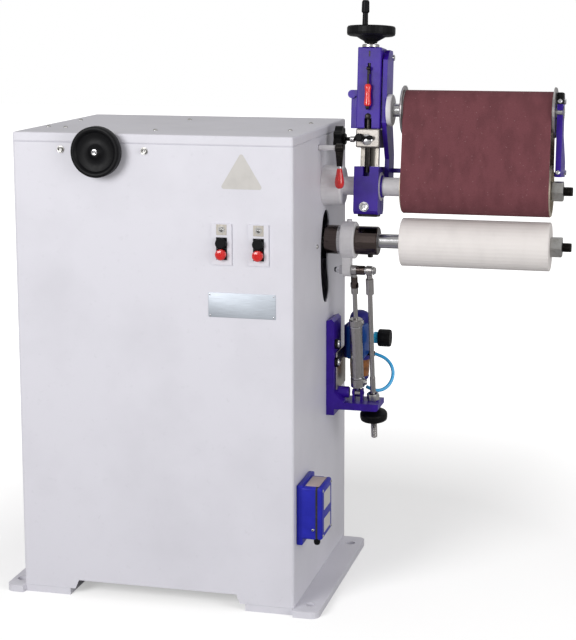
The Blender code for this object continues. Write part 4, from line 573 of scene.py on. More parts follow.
def add_box(shape, local, low, high, edge=0.0, segments=3):
    """A block with rounded edges."""
    block = bmesh.new()
    bmesh.ops.create_cube(block, size=1)
    low, high = Vector(low), Vector(high)
    bmesh.ops.scale(block, vec=high - low, verts=block.verts)
    bmesh.ops.translate(block, vec=(low + high) / 2, verts=block.verts)
    if edge:
        bmesh.ops.bevel(
            block, geom=block.edges[:], offset=edge, segments=segments, affect="EDGES", profile=0.5
        )
    take_in(shape, block, local)


def add_slab(shape, local, outline, low, high, edge=0.0, segments=2):
    """A flat piece with the given outline, from low to high along local Z."""
    block = bmesh.new()
    under = [block.verts.new((x, y, low)) for x, y in outline]
    over = [block.verts.new((x, y, high)) for x, y in outline]
    block.faces.new(under[::-1])
    block.faces.new(over)
    for i in range(len(outline)):
        block.faces.new((under[i - 1], under[i], over[i], over[i - 1]))
    block.normal_update()
    if edge:
        rims = [e for e in block.edges if abs(e.verts[0].co.z - e.verts[1].co.z) < (high - low) / 2]
        bmesh.ops.bevel(block, geom=rims, offset=edge, segments=segments, affect="EDGES", profile=0.5)
    take_in(shape, block, local)


def take_in(shape, block, local):
    """Adds a finished block of mesh to shape at its place."""
    bmesh.ops.recalc_face_normals(block, faces=block.faces)
    bmesh.ops.transform(block, matrix=local, verts=block.verts)
    carrier = bpy.data.meshes.new("block")
    block.to_mesh(carrier)
    block.free()
    shape.from_mesh(carrier)
    bpy.data.meshes.remove(carrier)


def piece(name, shape, finish_name, body, sharp=SHARP_ANGLE):
    """Turns a finished shape into a piece that rides on a body."""
    bmesh.ops.remove_doubles(shape, verts=shape.verts, dist=WELD)
    bmesh.ops.recalc_face_normals(shape, faces=shape.faces)
    mesh = bpy.data.meshes.new(name)
    shape.to_mesh(mesh)
    shape.free()
    mesh.materials.append(finish(finish_name))
    mesh.shade_smooth()
    mesh.set_sharp_from_angle(angle=math.radians(sharp))
    obj = bpy.data.objects.new(name, mesh)
    bpy.context.scene.collection.objects.link(obj)
    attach(obj, body)
    return obj


def single(name, finish_name, body, add, *numbers, sharp=SHARP_ANGLE, **options):
    """A piece that is one shape, made by one of the functions that add to a shape."""
    shape = bmesh.new()
    add(shape, *numbers, **options)
    return piece(name, shape, finish_name, body, sharp)


def arc(centre, radius, start, end, steps):
    turn = math.radians(end - start) / steps
    begin = math.radians(start)
    return [
        (
            centre[0] + radius * math.cos(begin + turn * i),
            centre[1] + radius * math.sin(begin + turn * i),
        )
        for i in range(steps + 1)
    ]


def rounded_outline(width, height, radius, steps=5):
    """A rectangle round the origin with rounded corners."""
    x, y = width / 2 - radius, height / 2 - radius
    corners = [((x, y), 0), ((-x, y), 90), ((-x, -y), 180), ((x, -y), 270)]
    points = []
    for centre, start in corners:
        points += arc(centre, radius, start, start + 90, steps)
    return points


# Height of a pan head's dome for a radius of one.
DOME = 0.62


def pan_head(shape, local, radius):
    """Domed screw head."""
    height = radius * DOME
    add_turned(
        shape, local,
        [
            (0, height), (radius * 0.45, height * 0.95), (radius * 0.8, height * 0.7),
            (radius, height * 0.2), (radius, 0), (0, 0)
        ],
        24
    )


def cross_recess_shade(shape, local, radius):
    """Dark cross a touch proud of a screw head's dome: painted shade of the head's cross recess."""
    top = radius * DOME
    reach, half = radius * 0.55, radius * 0.10
    for turn in (0.3, 0.3 + math.pi / 2):
        spin = local @ Matrix.Rotation(turn, 4, "Z")
        add_box(shape, spin, (-reach, -half, top * 0.72), (reach, half, top * 1.02))


def socket_head(shape, local, radius, height):
    """Cap screw with a hexagon socket."""
    socket = radius * 0.55
    add_turned(
        shape, local,
        [
            (0, height * 0.35), (socket, height * 0.35, 6), (socket, height * 0.94, 6),
            (socket * 1.15, height), (radius * 0.9, height), (radius, height * 0.9), (radius, 0), (0, 0)
        ],
        24
    )


def hex_head(shape, local, radius, height, turn=0.0):
    """Hexagon bolt head with a chamfered top, on a washer."""
    spin = local @ Matrix.Rotation(turn, 4, "Z")
    washer = height * 0.22
    add_turned(
        shape, spin,
        [
            (0, height), (radius * 0.80, height), (radius, height * 0.88, 6), (radius, washer, 6),
            (radius * 1.22, washer), (radius * 1.25, washer * 0.5), (radius * 1.25, 0), (0, 0)
        ],
        24
    )


def washer(shape, local, inner, outer, height):
    add_turned(
        shape, local, [(inner, 0), (outer, 0), (outer, height), (inner, height)], 32, closed=True
    )


# Rays around a pad: a multiple of eight, so that one falls on each corner of a square.
PAD_STEPS = 48


def add_pad(shape, local, width, tall, hole, height):
    """A square-cornered pad with a softened rim and a round hole in the middle."""
    turns = [2 * math.pi * i / PAD_STEPS for i in range(PAD_STEPS)]
    rays = [Vector((math.cos(turn), math.sin(turn), 0)) for turn in turns]
    edges = [
        ray * min(width / 2 / max(abs(ray.x), 0.01), tall / 2 / max(abs(ray.y), 0.01)) for ray in rays
    ]
    rims = [
        [edge * share + Vector((0, 0, z)) for edge in edges]
        for share, z in ((1.0, 0.0), (1.0, height * 0.7), (0.98, height))
    ]
    for z in (height, 0.0):
        rims.append([ray * hole + Vector((0, 0, z)) for ray in rays])
    loops = [[shape.verts.new(local @ point) for point in rim] for rim in rims]
    for a, b in zip(loops, loops[1:] + loops[:1]):
        for i in range(PAD_STEPS):
            shape.faces.new((a[i - 1], a[i], b[i], b[i - 1]))


# ---------------------------------------------------------------- pieces


class SANDER_OT_cabinet(bpy.types.Operator):
    """Finish the cabinet, its cover, back, rails and inner shelf"""

    bl_idname = "sander.cabinet"
    bl_label = "Cabinet"

    def execute(self, context):
        finish_nodes(
            "enamel_on_sheet", "cabinet_body", "top_cover", "back_panel", "base_rail_left",
            "base_rail_right", "motor_shelf", "switch_plate_left", "switch_plate_right"
        )
        inset = Vector((0.3, 0.3, 0)) * MM
        low = Vector((COVER_LOW.x, COVER_LOW.y, BODY_HIGH.z - 0.4 * MM)) + inset
        high = Vector((COVER_HIGH.x, COVER_HIGH.y, COVER_LOW.z + 0.4 * MM)) - inset
        single(
            "cover_seal", "enamel_on_sheet", "cabinet", add_box, Matrix.Identity(4), low, high,
            0.3 * MM, 1
        )
        return {"FINISHED"}


class SANDER_OT_screws(bpy.types.Operator):
    """Add the screws of the cover, the front and the side"""

    bl_idname = "sander.screws"
    bl_label = "Cabinet screws"

    def execute(self, context):
        small, large = sizes().cover_screw, sizes().cap_screw
        cover = [
            on_top(-0.273, 0.313), on_top(-0.032, 0.375), on_top(0.263, 0.335), on_top(-0.233, 0.121),
            on_top(-0.278, 0.134), on_top(-0.019, 0.094), on_top(0.263, 0.148)
        ]
        heads, recesses = bmesh.new(), bmesh.new()
        for local in cover + [on_side(0.211, 0.744)]:
            pan_head(heads, local, small)
            # The dark cross paints the shade in the screw head's cross recess.
            cross_recess_shade(recesses, local, small)
        piece("cover_screws", heads, "zinc_plate", "cabinet")
        piece("cover_screw_recess_shade", recesses, "black_oxide_and_painted_shade", "cabinet")
        caps = bmesh.new()
        for x in (-0.197, -0.012):
            local = on_front(x, 0.965)
            washer(caps, local, 0.0, large * 1.35, 1.2 * MM)
            socket_head(caps, raised(local, 1.2 * MM), large, 6.0 * MM)
        piece("dial_cap_screws", caps, "zinc_plate", "cabinet")
        return {"FINISHED"}


class SANDER_OT_front_plates(bpy.types.Operator):
    """Add the blank triangle and the bare rating plate on the front"""

    bl_idname = "sander.front_plates"
    bl_label = "Front plates"

    def execute(self, context):
        width = sizes().triangle
        height = width * 0.90
        corner = width * 0.055
        below, above = 0.36, 0.64
        local = on_front(0.197, 0.891 + height * below)
        low, high = -height * below, height * above
        half = width / 2 - corner
        outline = arc((half, low + corner), corner, -90, 30, 5)
        outline += arc((0, high - corner * 2), corner, 30, 150, 5)
        outline += arc((-half, low + corner), corner, 150, 270, 5)
        single("blank_triangle", "blank_sticker", "cabinet", add_slab, local, outline, 0.0, 0.4 * MM)
        wide, tall = sizes().plate_width, sizes().plate_height
        local = on_front(0.1965, 0.648)
        single(
            "rating_plate", "bare_plate", "cabinet", add_slab, local,
            rounded_outline(wide, tall, 1.5 * MM), 0.0, 1.0 * MM, 0.3 * MM
        )
        rivets = bmesh.new()
        for x in (-1, 1):
            for y in (-1, 1):
                at = Matrix.Translation((x * (wide / 2 - 4 * MM), y * (tall / 2 - 4 * MM), 1.0 * MM))
                pan_head(rivets, local @ at, 1.8 * MM)
        piece("plate_rivets", rivets, "chrome", "cabinet")
        return {"FINISHED"}


class SANDER_OT_switches(bpy.types.Operator):
    """Finish the push buttons and add their square pads, screws and bare fields"""

    bl_idname = "sander.switches"
    bl_label = "Push buttons"

    def execute(self, context):
        finish_nodes("black_abs", "start_button_left", "start_button_right")
        finish_nodes("red_button", "stop_button_left", "stop_button_right")
        heads, recesses = bmesh.new(), bmesh.new()
        fields, pads = bmesh.new(), bmesh.new()
        for side in ("left", "right"):
            low, high = corners(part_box("switch_plate_" + side))
            centre_x = (low.x + high.x) / 2
            local = facing((centre_x, low.y - 0.7 * MM, high.z - 12 * MM), -BACK)
            washer(heads, local, 0.0, 7.5 * MM, 0.8 * MM)
            pan_head(heads, raised(local, 0.8 * MM), 4.6 * MM)
            # The dark cross paints the shade in the screw head's cross recess.
            cross_recess_shade(recesses, raised(local, 0.8 * MM), 4.6 * MM)
            field = facing((centre_x, low.y, high.z - 12.5 * MM), -BACK)
            add_pad(fields, field, 22 * MM, 22 * MM, 2 * MM, 0.7 * MM)
            for kind in ("start", "stop"):
                button_low, button_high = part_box(kind + "_button_" + side)
                reach = (button_high[0] - button_low[0]) / 2
                centre_z = (button_low[2] + button_high[2]) / 2
                at = facing((centre_x, low.y, centre_z), -BACK)
                side_length = 2 * reach + 0.2 * MM
                add_pad(pads, at, side_length, side_length, reach - 1.2 * MM, 1.2 * MM)
        piece("switch_fields", fields, "ground_steel", "cabinet")
        piece("switch_screws", heads, "zinc_plate", "cabinet")
        piece("switch_screw_recess_shade", recesses, "black_oxide_and_painted_shade", "cabinet")
        piece("button_pads", pads, "black_abs", "cabinet")
        return {"FINISHED"}


class SANDER_OT_speed_dial(bpy.types.Operator):
    """Rebuild the speed dial as a dished wheel and add its chrome centre screw"""

    bl_idname = "sander.speed_dial"
    bl_label = "Speed dial"

    def execute(self, context):
        low, high = corners(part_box("speed_dial"))
        local = facing((pivot("speed_dial_turn").x, low.y, pivot("speed_dial_turn").z), -BACK)
        radius = (high.x - low.x) / 2
        stand = BODY_LOW.y - low.y
        depth = stand - 10 * MM
        dial_piece = single(
            "dial_wheel", "black_abs", "speed_dial", add_turned, local,
            [
                (0, -3.0 * MM), (9 * MM, -3.0 * MM), (11 * MM, -4.5 * MM), (radius * 0.30, -8.0 * MM),
                (radius * 0.34, -9.0 * MM), (radius * 0.60, -9.4 * MM), (radius * 0.76, -6.4 * MM),
                (radius * 0.82, -1.4 * MM), (radius * 0.86, -0.2 * MM), (radius * 0.93, 0.0),
                (radius * 0.985, -1.4 * MM), (radius, -4.0 * MM), (radius, -depth + 3 * MM),
                (radius * 0.97, -depth), (22 * MM, -depth), (22 * MM, -stand + 0.4 * MM),
                (0, -stand + 0.4 * MM)
            ],
            72
        )
        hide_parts("speed_dial")
        single(
            "dial_screw", "chrome", "speed_dial", socket_head, raised(local, -3.2 * MM), 6.5 * MM,
            3.4 * MM
        )
        return {"FINISHED"}


class SANDER_OT_control_box(bpy.types.Operator):
    """Rebuild the control box with its flange, lid, blank labels, screws and gland nut"""

    bl_idname = "sander.control_box"
    bl_label = "Control box"

    def execute(self, context):
        low, high = corners(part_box("control_box"))
        here = Matrix.Identity(4)
        flange = 13 * MM
        case = bmesh.new()
        add_box(case, here, low, (low.x + flange, high.y, high.z), 2.5 * MM)
        box_front, box_back = low.y, high.y - 20 * MM
        box_low, box_top = low.z + 14 * MM, high.z - 3 * MM
        add_box(
            case, here, (low.x + 5 * MM, box_front, box_low), (high.x - 13 * MM, box_back, box_top),
            5 * MM
        )
        body = piece("control_case", case, "blue_abs", "cabinet")
        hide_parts("control_box")
        single(
            "control_lid", "blue_abs", "cabinet", add_box, here,
            (high.x - 12.4 * MM, box_front, box_low), (high.x, box_back, box_top), 5.5 * MM, 4
        )
        inset = 1.2 * MM
        single(
            "control_gasket", "belt_rubber", "cabinet", add_box, here,
            (high.x - 13.4 * MM, box_front + inset, box_low + inset),
            (high.x - 12.0 * MM, box_back - inset, box_top - inset), 3 * MM, 1
        )
        labels = bmesh.new()
        middle_y = (box_front + box_back) / 2
        for z, tall in ((box_top - 33 * MM, 38 * MM), (box_low + 28 * MM, 30 * MM)):
            at = facing((high.x, middle_y, z), RIGHT)
            add_slab(labels, at, rounded_outline(58 * MM, tall, 2 * MM), 0.0, 0.4 * MM)
        piece("blank_box_labels", labels, "blank_sticker", "cabinet")
        at = facing(((low.x + high.x) / 2 + 4 * MM, middle_y, box_top), UP, BACK)
        single(
            "box_top_panel", "beige_panel", "cabinet", add_slab, at,
            rounded_outline(30 * MM, 70 * MM, 3 * MM), 0.0, 1.0 * MM, 0.3 * MM
        )
        screws, recesses = bmesh.new(), bmesh.new()
        for y in (box_front + 9 * MM, box_back - 9 * MM):
            for z in (box_low + 8 * MM, box_top - 8 * MM):
                at = facing((high.x, y, z), RIGHT)
                pan_head(screws, at, 3.2 * MM)
                # The dark cross paints the shade in the screw head's cross recess.
                cross_recess_shade(recesses, at, 3.2 * MM)
        at = facing((high.x - 20 * MM, box_front, box_low + 22 * MM), -BACK)
        pan_head(screws, at, 3.2 * MM)
        # The dark cross paints the shade in the screw head's cross recess.
        cross_recess_shade(recesses, at, 3.2 * MM)
        piece("box_screws", screws, "zinc_plate", "cabinet")
        piece("box_screw_recess_shade", recesses, "black_oxide_and_painted_shade", "cabinet")
        gland_low, gland_high = corners(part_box("cable_gland"))
        centre = (gland_low + gland_high) / 2
        reach = (gland_high.x - gland_low.x) / 2
        tall = gland_high.z - gland_low.z
        at = facing((centre.x, centre.y, gland_high.z), -UP, BACK)
        nut = single(
            "gland_nut", "black_abs", "cabinet", add_turned, at,
            [
                (reach * 0.3, 0), (reach, 0, 6), (reach, tall * 0.32, 6), (reach * 0.78, tall * 0.36),
                (reach * 0.78, tall * 0.70), (reach * 0.60, tall * 0.95), (reach * 0.45, tall),
                (reach * 0.3, tall)
            ],
            24, closed=True
        )
        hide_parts("cable_gland")
        return {"FINISHED"}


class SANDER_OT_spindle(bpy.types.Operator):
    """Finish the spindle, its housing, drum and drive, and add the threads and washers of two shafts"""

    bl_idname = "sander.spindle"
    bl_label = "Spindle and drum"

    def execute(self, context):
        finish_nodes("casting_enamel_painted_light", "spindle_housing")
        finish_nodes("bright_shaft", "drive_shaft", "inner_bearing", "outer_bearing")
        finish_nodes("cast_drum", "contact_drum")
        finish_nodes("zinc_plate", "drum_nut", "feed_nut")
        finish_nodes("hammered_iron", "drive_motor", "motor_pulley", "spindle_pulley")
        finish_nodes("belt_rubber", "drive_belt")
        for name, body, node, shaft in (
            ("drum_thread", "spindle", "drum_nut", "drive_shaft"),
            ("roller_thread", "feed_roller", "feed_nut", "feed_shaft")
        ):
            centre = DRUM if body == "spindle" else FEED
            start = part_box(node)[1][0]
            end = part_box(shaft)[1][0]
            local = facing((start, centre.y, centre.z), RIGHT)
            pitch = sizes().thread_pitch
            core, crest = 9.34 * MM, 9.95 * MM
            turns = int((end - start - 2 * MM) / pitch)
            profile = [(core, 0.2 * MM)]
            for i in range(turns):
                z = 0.4 * MM + i * pitch
                profile += [(core, z), (crest, z + pitch * 0.45), (crest, z + pitch * 0.60)]
            profile += [
                (core, turns * pitch + 0.4 * MM), (core, end - start), (0, end - start + 0.2 * MM)
            ]
            single(
                name, "black_oxide_and_painted_shade", body, add_turned, local, [(0, 0.2 * MM)] + profile, 40, sharp=25
            )
            nut_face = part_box(node)[0][0]
            at = facing((nut_face, centre.y, centre.z), RIGHT)
            single(
                name.replace("thread", "washer"), "bright_shaft", body, washer, at, 13 * MM, 19.5 * MM,
                1.4 * MM
            )
        return {"FINISHED"}


# Points on each of the belt's two bends.
BELT_STEPS = 56


class SANDER_OT_sanding_belt(bpy.types.Operator):
    """Replace the belt by a smooth cloth band with a cream backing"""

    bl_idname = "sander.sanding_belt"
    bl_label = "Sanding belt"

    def execute(self, context):
        low, high = extent("sanding_belt", HEAD)
        top_centre = (HEAD.inverted() @ pivot("idler_spin")).z
        low_radius, high_radius = -low.z, high.z - top_centre
        thickness = 1.2 * MM
        spread = math.degrees(math.acos((low_radius - high_radius) / top_centre))
        belt = bmesh.new()
        loops = []
        for inset in (0.0, thickness):
            path = arc((0, 0), low_radius - inset, 90 + spread, 450 - spread, BELT_STEPS)
            path += arc((0, top_centre), high_radius - inset, 90 - spread, 90 + spread, BELT_STEPS)
            for x in (low.x, high.x):
                loops.append([belt.verts.new(HEAD @ Vector((x, y, z))) for y, z in path])
        outer_left, outer_right, inner_left, inner_right = loops
        count = len(outer_left)
        for i in range(count):
            belt.faces.new((outer_left[i - 1], outer_left[i], outer_right[i], outer_right[i - 1]))
            belt.faces.new((inner_left[i - 1], inner_left[i], inner_right[i], inner_right[i - 1]))
            belt.faces.new((outer_left[i - 1], outer_left[i], inner_left[i], inner_left[i - 1]))
            belt.faces.new((outer_right[i - 1], outer_right[i], inner_right[i], inner_right[i - 1]))
        belt.faces.ensure_lookup_table()
        band = piece("abrasive_belt", belt, "resin_bonded_cloth", "head")
        band.data.materials.append(finish("belt_backing"))
        # The faces come in fours: outside, inside and the two rims. Only the outside is abrasive.
        for index, polygon in enumerate(band.data.polygons):
            polygon.material_index = 0 if index % 4 == 0 else 1
        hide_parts("sanding_belt")
        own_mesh(band)
        return {"FINISHED"}


class SANDER_OT_head(bpy.types.Operator):
    """Finish the clamp, guide, slide block and column, and add their bolts and details"""

    bl_idname = "sander.head"
    bl_label = "Head"

    def execute(self, context):
        finish_nodes("violet_enamel", "head_clamp", "column")
        finish_nodes("ground_steel", "guide_plate")
        finish_nodes("machined_iron", "slide_block")
        low, high = extent("head_clamp", HEAD)
        bolts = bmesh.new()
        at = HEAD @ facing((low.x + 24 * MM, low.y, low.z + 17 * MM), -BACK)
        washer(bolts, at, 0.0, 10.5 * MM, 1.2 * MM)
        socket_head(bolts, raised(at, 1.2 * MM), 8.5 * MM, 6.0 * MM)
        piece("clamp_bolt", bolts, "chrome", "head")
        single(
            "clamp_under_plate", "black_oxide_and_painted_shade", "head", add_box, HEAD,
            (low.x + 9 * MM, low.y + 6 * MM, low.z - 5 * MM),
            (high.x - 8 * MM, high.y - 20 * MM, low.z + 1 * MM), 2 * MM
        )
        at = HEAD @ facing((high.x - 6 * MM, 0, 0), RIGHT)
        single(
            "clamp_face_ring", "casting_enamel_painted_light", "head", washer, at, 24.4 * MM, 31.0 * MM, 1.6 * MM
        )
        block_low = extent("slide_block", HEAD)[0]
        at = HEAD @ facing((block_low.x + 25 * MM, block_low.y, block_low.z + 17 * MM), -BACK)
        single(
            "slide_boss", "chrome", "carriage", add_turned, at,
            in_mm([(0, 3.4), (5, 3.4), (9, 2.8), (11.4, 1.4), (12, 0), (0, 0)]), 40
        )
        column_low, column_high = extent("column", HEAD)
        front = block_low.y
        centre_x = (HEAD.inverted() @ pivot("handwheel_turn")).x
        details = bmesh.new()
        at = HEAD @ facing((centre_x, front - 0.5 * MM, column_low.z + 26 * MM), -BACK)
        add_turned(details, at, in_mm([(0, 1.5), (5.0, 1.5), (6.5, 0.6), (7.0, 0), (0, 0)]), 24)
        # A dark sheet on the column's front paints the shade inside the slot near the column's top.
        slot = HEAD @ facing((centre_x, front, column_high.z - 14 * MM), -BACK)
        add_slab(details, slot, rounded_outline(3.4 * MM, 13 * MM, 1.6 * MM), -1 * MM, 0.3 * MM)
        piece("column_screw_and_slot_shade", details, "black_oxide_and_painted_shade", "carriage")
        return {"FINISHED"}


class SANDER_OT_arms(bpy.types.Operator):
    """Finish the idler frame and add its bolts, end cap, boss ring and shaft end"""

    bl_idname = "sander.arms"
    bl_label = "Idler frame"

    def execute(self, context):
        finish_nodes("violet_enamel", "inner_arm", "outer_arm", "cross_bar")
        finish_nodes("dull_cheek", "idler_roller")
        idler = HEAD.inverted() @ pivot("idler_spin")
        arm_low, arm_high = extent("outer_arm", HEAD)
        inner_low, inner_high = extent("inner_arm", HEAD)
        bar_low, bar_high = extent("cross_bar", HEAD)
        bolts = bmesh.new()
        for y, z in (
            (idler.y + 2 * MM, arm_high.z - 18 * MM),
            ((bar_low.y + bar_high.y) / 2 - 8 * MM, bar_low.z + 10 * MM)
        ):
            at = HEAD @ facing((arm_high.x, y, z), RIGHT)
            socket_head(bolts, at, 6.0 * MM, 4.5 * MM)
        at = HEAD @ facing((inner_low.x + 17 * MM, 12 * MM, inner_high.z - 16 * MM), RIGHT)
        socket_head(bolts, at, 6.5 * MM, 4.0 * MM)
        piece("arm_bolts", bolts, "chrome", "carriage")
        self.outer_end(arm_low, arm_high, idler)
        self.idler_shaft(idler, arm_high.x + 1.5 * MM)
        at = HEAD @ facing((inner_high.x, idler.y, idler.z), RIGHT)
        single(
            "idler_boss_ring", "casting_enamel_painted_light", "carriage", add_turned, at,
            in_mm([(15.2, 0.8), (31.2, 0.8), (33.6, -0.4), (34.6, -2.6), (34.6, -10.6), (15.2, -10.6)]),
            48, closed=True
        )
        at = HEAD @ facing((arm_high.x, idler.y, idler.z), RIGHT)
        single("idler_end_washer", "zinc_plate", "carriage", washer, at, 7.8 * MM, 14.0 * MM, 1.6 * MM)
        return {"FINISHED"}

    def outer_end(self, low, high, idler):
        """Black cap and small screws on the outer arm, and the shaft's flat in the arm's slot."""
        front = low.y - 0.8 * MM
        single(
            "outer_arm_cap", "black_abs", "carriage", add_box, HEAD,
            (low.x - 0.8 * MM, front, high.z - 25 * MM),
            (high.x + 0.8 * MM, front + 34 * MM, high.z + 0.8 * MM), 2.5 * MM
        )
        middle = (low.x + high.x) / 2
        screws = bmesh.new()
        at = HEAD @ facing((middle, front, high.z - 18 * MM), -BACK)
        socket_head(screws, at, 4.6 * MM, 2.6 * MM)
        at = HEAD @ facing((middle, low.y, high.z - 168 * MM), -BACK)
        socket_head(screws, at, 4.4 * MM, 3.0 * MM)
        piece("cap_screws", screws, "chrome", "carriage")
        at = HEAD @ facing((low.x - 2 * MM, low.y, idler.z), RIGHT)
        single(
            "idler_shaft_flat", "bright_shaft", "carriage", add_turned, at,
            in_mm([(0, 0), (4.6, 0), (5.0, 0.4), (5.0, 13.4), (4.6, 13.8), (0, 13.8)]), 32
        )

    def idler_shaft(self, idler, end):
        """Fixed shaft of the idler roller, stepped down where it enters the outer arm."""
        at = HEAD @ facing(idler, RIGHT)
        low, high = corners(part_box("idler_shaft"))
        thick, thin = (high.z - low.z) / 2, 7.5 * MM
        step = extent("outer_arm", HEAD)[0].x - 0.3 * MM - idler.x
        start = low.x - idler.x
        rod = single(
            "idler_bar", "bright_shaft", "carriage", add_turned, at,
            [
                (0, start), (thick - 1 * MM, start), (thick, start + 1 * MM), (thick, step),
                (thin, step), (thin, end - idler.x - 0.6 * MM), (thin - 0.6 * MM, end - idler.x),
                (0, end - idler.x)
            ],
            48
        )
        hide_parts("idler_shaft")


class SANDER_OT_handwheel(bpy.types.Operator):
    """Finish the tension handwheel, its crank and screw, and add the hub nut and a collar"""

    bl_idname = "sander.handwheel"
    bl_label = "Handwheel"

    def execute(self, context):
        finish_nodes("black_oxide_and_painted_shade", "tension_screw")
        finish_nodes("black_abs", "handwheel", "crank_grip")
        wheel = along(axis("handwheel_turn"), pivot("handwheel_turn"))
        screw_top = extent("tension_screw", wheel)[1].z
        at = raised(wheel, screw_top - 4 * MM)
        single(
            "wheel_nut", "zinc_plate", "handwheel", add_turned, at,
            in_mm([(0, 6.0), (7, 6.0), (8.5, 5.2, 6), (8.5, 0, 6), (0, 0)]), 24
        )
        single(
            "screw_collar", "zinc_plate", "handwheel", add_turned, wheel,
            in_mm([(8.4, -13.6), (17.2, -13.6), (18.6, -14.8), (18.6, -19.6), (8.4, -19.6)]), 48,
            closed=True
        )
        return {"FINISHED"}


class SANDER_OT_levers(bpy.types.Operator):
    """Rebuild the clamping levers with black stems and red grips, and finish the knobs"""

    bl_idname = "sander.levers"
    bl_label = "Levers and knobs"

    def execute(self, context):
        finish_nodes("black_abs", "star_knob", "lock_handle")
        self.release_lever()
        self.swing_lever()
        self.star_rod()
        return {"FINISHED"}

    def release_lever(self):
        """Quick-release lever on the column: black stem, red sleeve, black tip."""
        local = along(axis("carriage_slide"), pivot("release_turn"))
        stem = bmesh.new()
        add_turned(stem, local, in_mm([(0, 3.5), (2.0, 3.0), (2.6, -20), (2.8, -36), (0, -36)]), 24)
        across = local @ Matrix.Rotation(math.radians(90), 4, "Y")
        add_turned(stem, across, in_mm([(0, -3.6), (4.0, -3.6), (4.0, 3.6), (0, 3.6)]), 24)
        add_turned(stem, local, in_mm([(0, -78), (4.6, -78), (4.2, -86), (2.2, -88.5), (0, -88.5)]), 24)
        rod = piece("release_stem", stem, "black_oxide_and_painted_shade", "release_lever")
        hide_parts("release_lever")
        sleeve = single(
            "release_grip", "red_grip", "release_lever", add_turned, local,
            in_mm(
                [
                    (0, -34), (5.2, -34), (7.0, -37), (7.4, -42), (6.4, -47), (6.2, -58), (7.0, -66),
                    (7.8, -74), (7.4, -79), (5.0, -81), (0, -81)
                ]
            ),
            32
        )

    def swing_lever(self):
        """Clamping lever beside the housing: black hub and arm, chrome neck, red teardrop."""
        low = Vector(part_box("swing_lever")[0])
        hinge = pivot("swing_lever_turn")
        local = facing(hinge, UP, BACK)
        across = facing(hinge, RIGHT)
        single(
            "swing_stud", "casting_enamel_painted_light", "swing_lever", add_turned, across,
            [
                (0, -8 * MM), (5.6 * MM, -8 * MM), (5.6 * MM, low.x - hinge.x + 12 * MM),
                (4.8 * MM, low.x - hinge.x + 8.2 * MM), (0, low.x - hinge.x + 8.2 * MM)
            ],
            32
        )
        dark = bmesh.new()
        add_turned(dark, across, in_mm([(0, 9), (7, 9), (9.3, 7), (9.3, -7), (7, -9), (0, -9)]), 32)
        blade = [(-9.6, 3), (-8.2, 6), (8.2, 6), (9.6, 3), (5.4, -40), (-5.4, -40)]
        outline = [(x * MM, y * MM) for x, y in blade]
        add_slab(dark, facing(hinge, -BACK), outline, -4.6 * MM, 4.6 * MM, 1.6 * MM)
        hub = piece("swing_hub", dark, "black_oxide_and_painted_shade", "swing_lever")
        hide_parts("swing_lever")
        single(
            "swing_neck", "chrome", "swing_lever", add_turned, local,
            in_mm([(0, -39), (4.2, -39), (4.2, -48), (0, -48)]), 24
        )
        single(
                "swing_grip", "red_grip", "swing_lever", add_turned, local,
                in_mm(
                    [
                        (0, -44), (4.8, -44), (6.0, -48), (7.4, -56), (9.4, -66), (10.4, -74),
                        (10.0, -80), (8.2, -85), (4.8, -87.6), (0, -88.4)
                    ]
                ),
                40
            )

    def star_rod(self):
        """Bright collar on the star knob's rod."""
        knob_high = extent("star_knob", HEAD)[1]
        hinge = HEAD.inverted() @ pivot("star_knob_turn")
        at = HEAD @ facing((knob_high.x - 26 * MM, hinge.y, hinge.z), RIGHT)
        single("star_rod_collar", "bright_shaft", "star_knob", washer, at, 4.6 * MM, 7.0 * MM, 9 * MM)


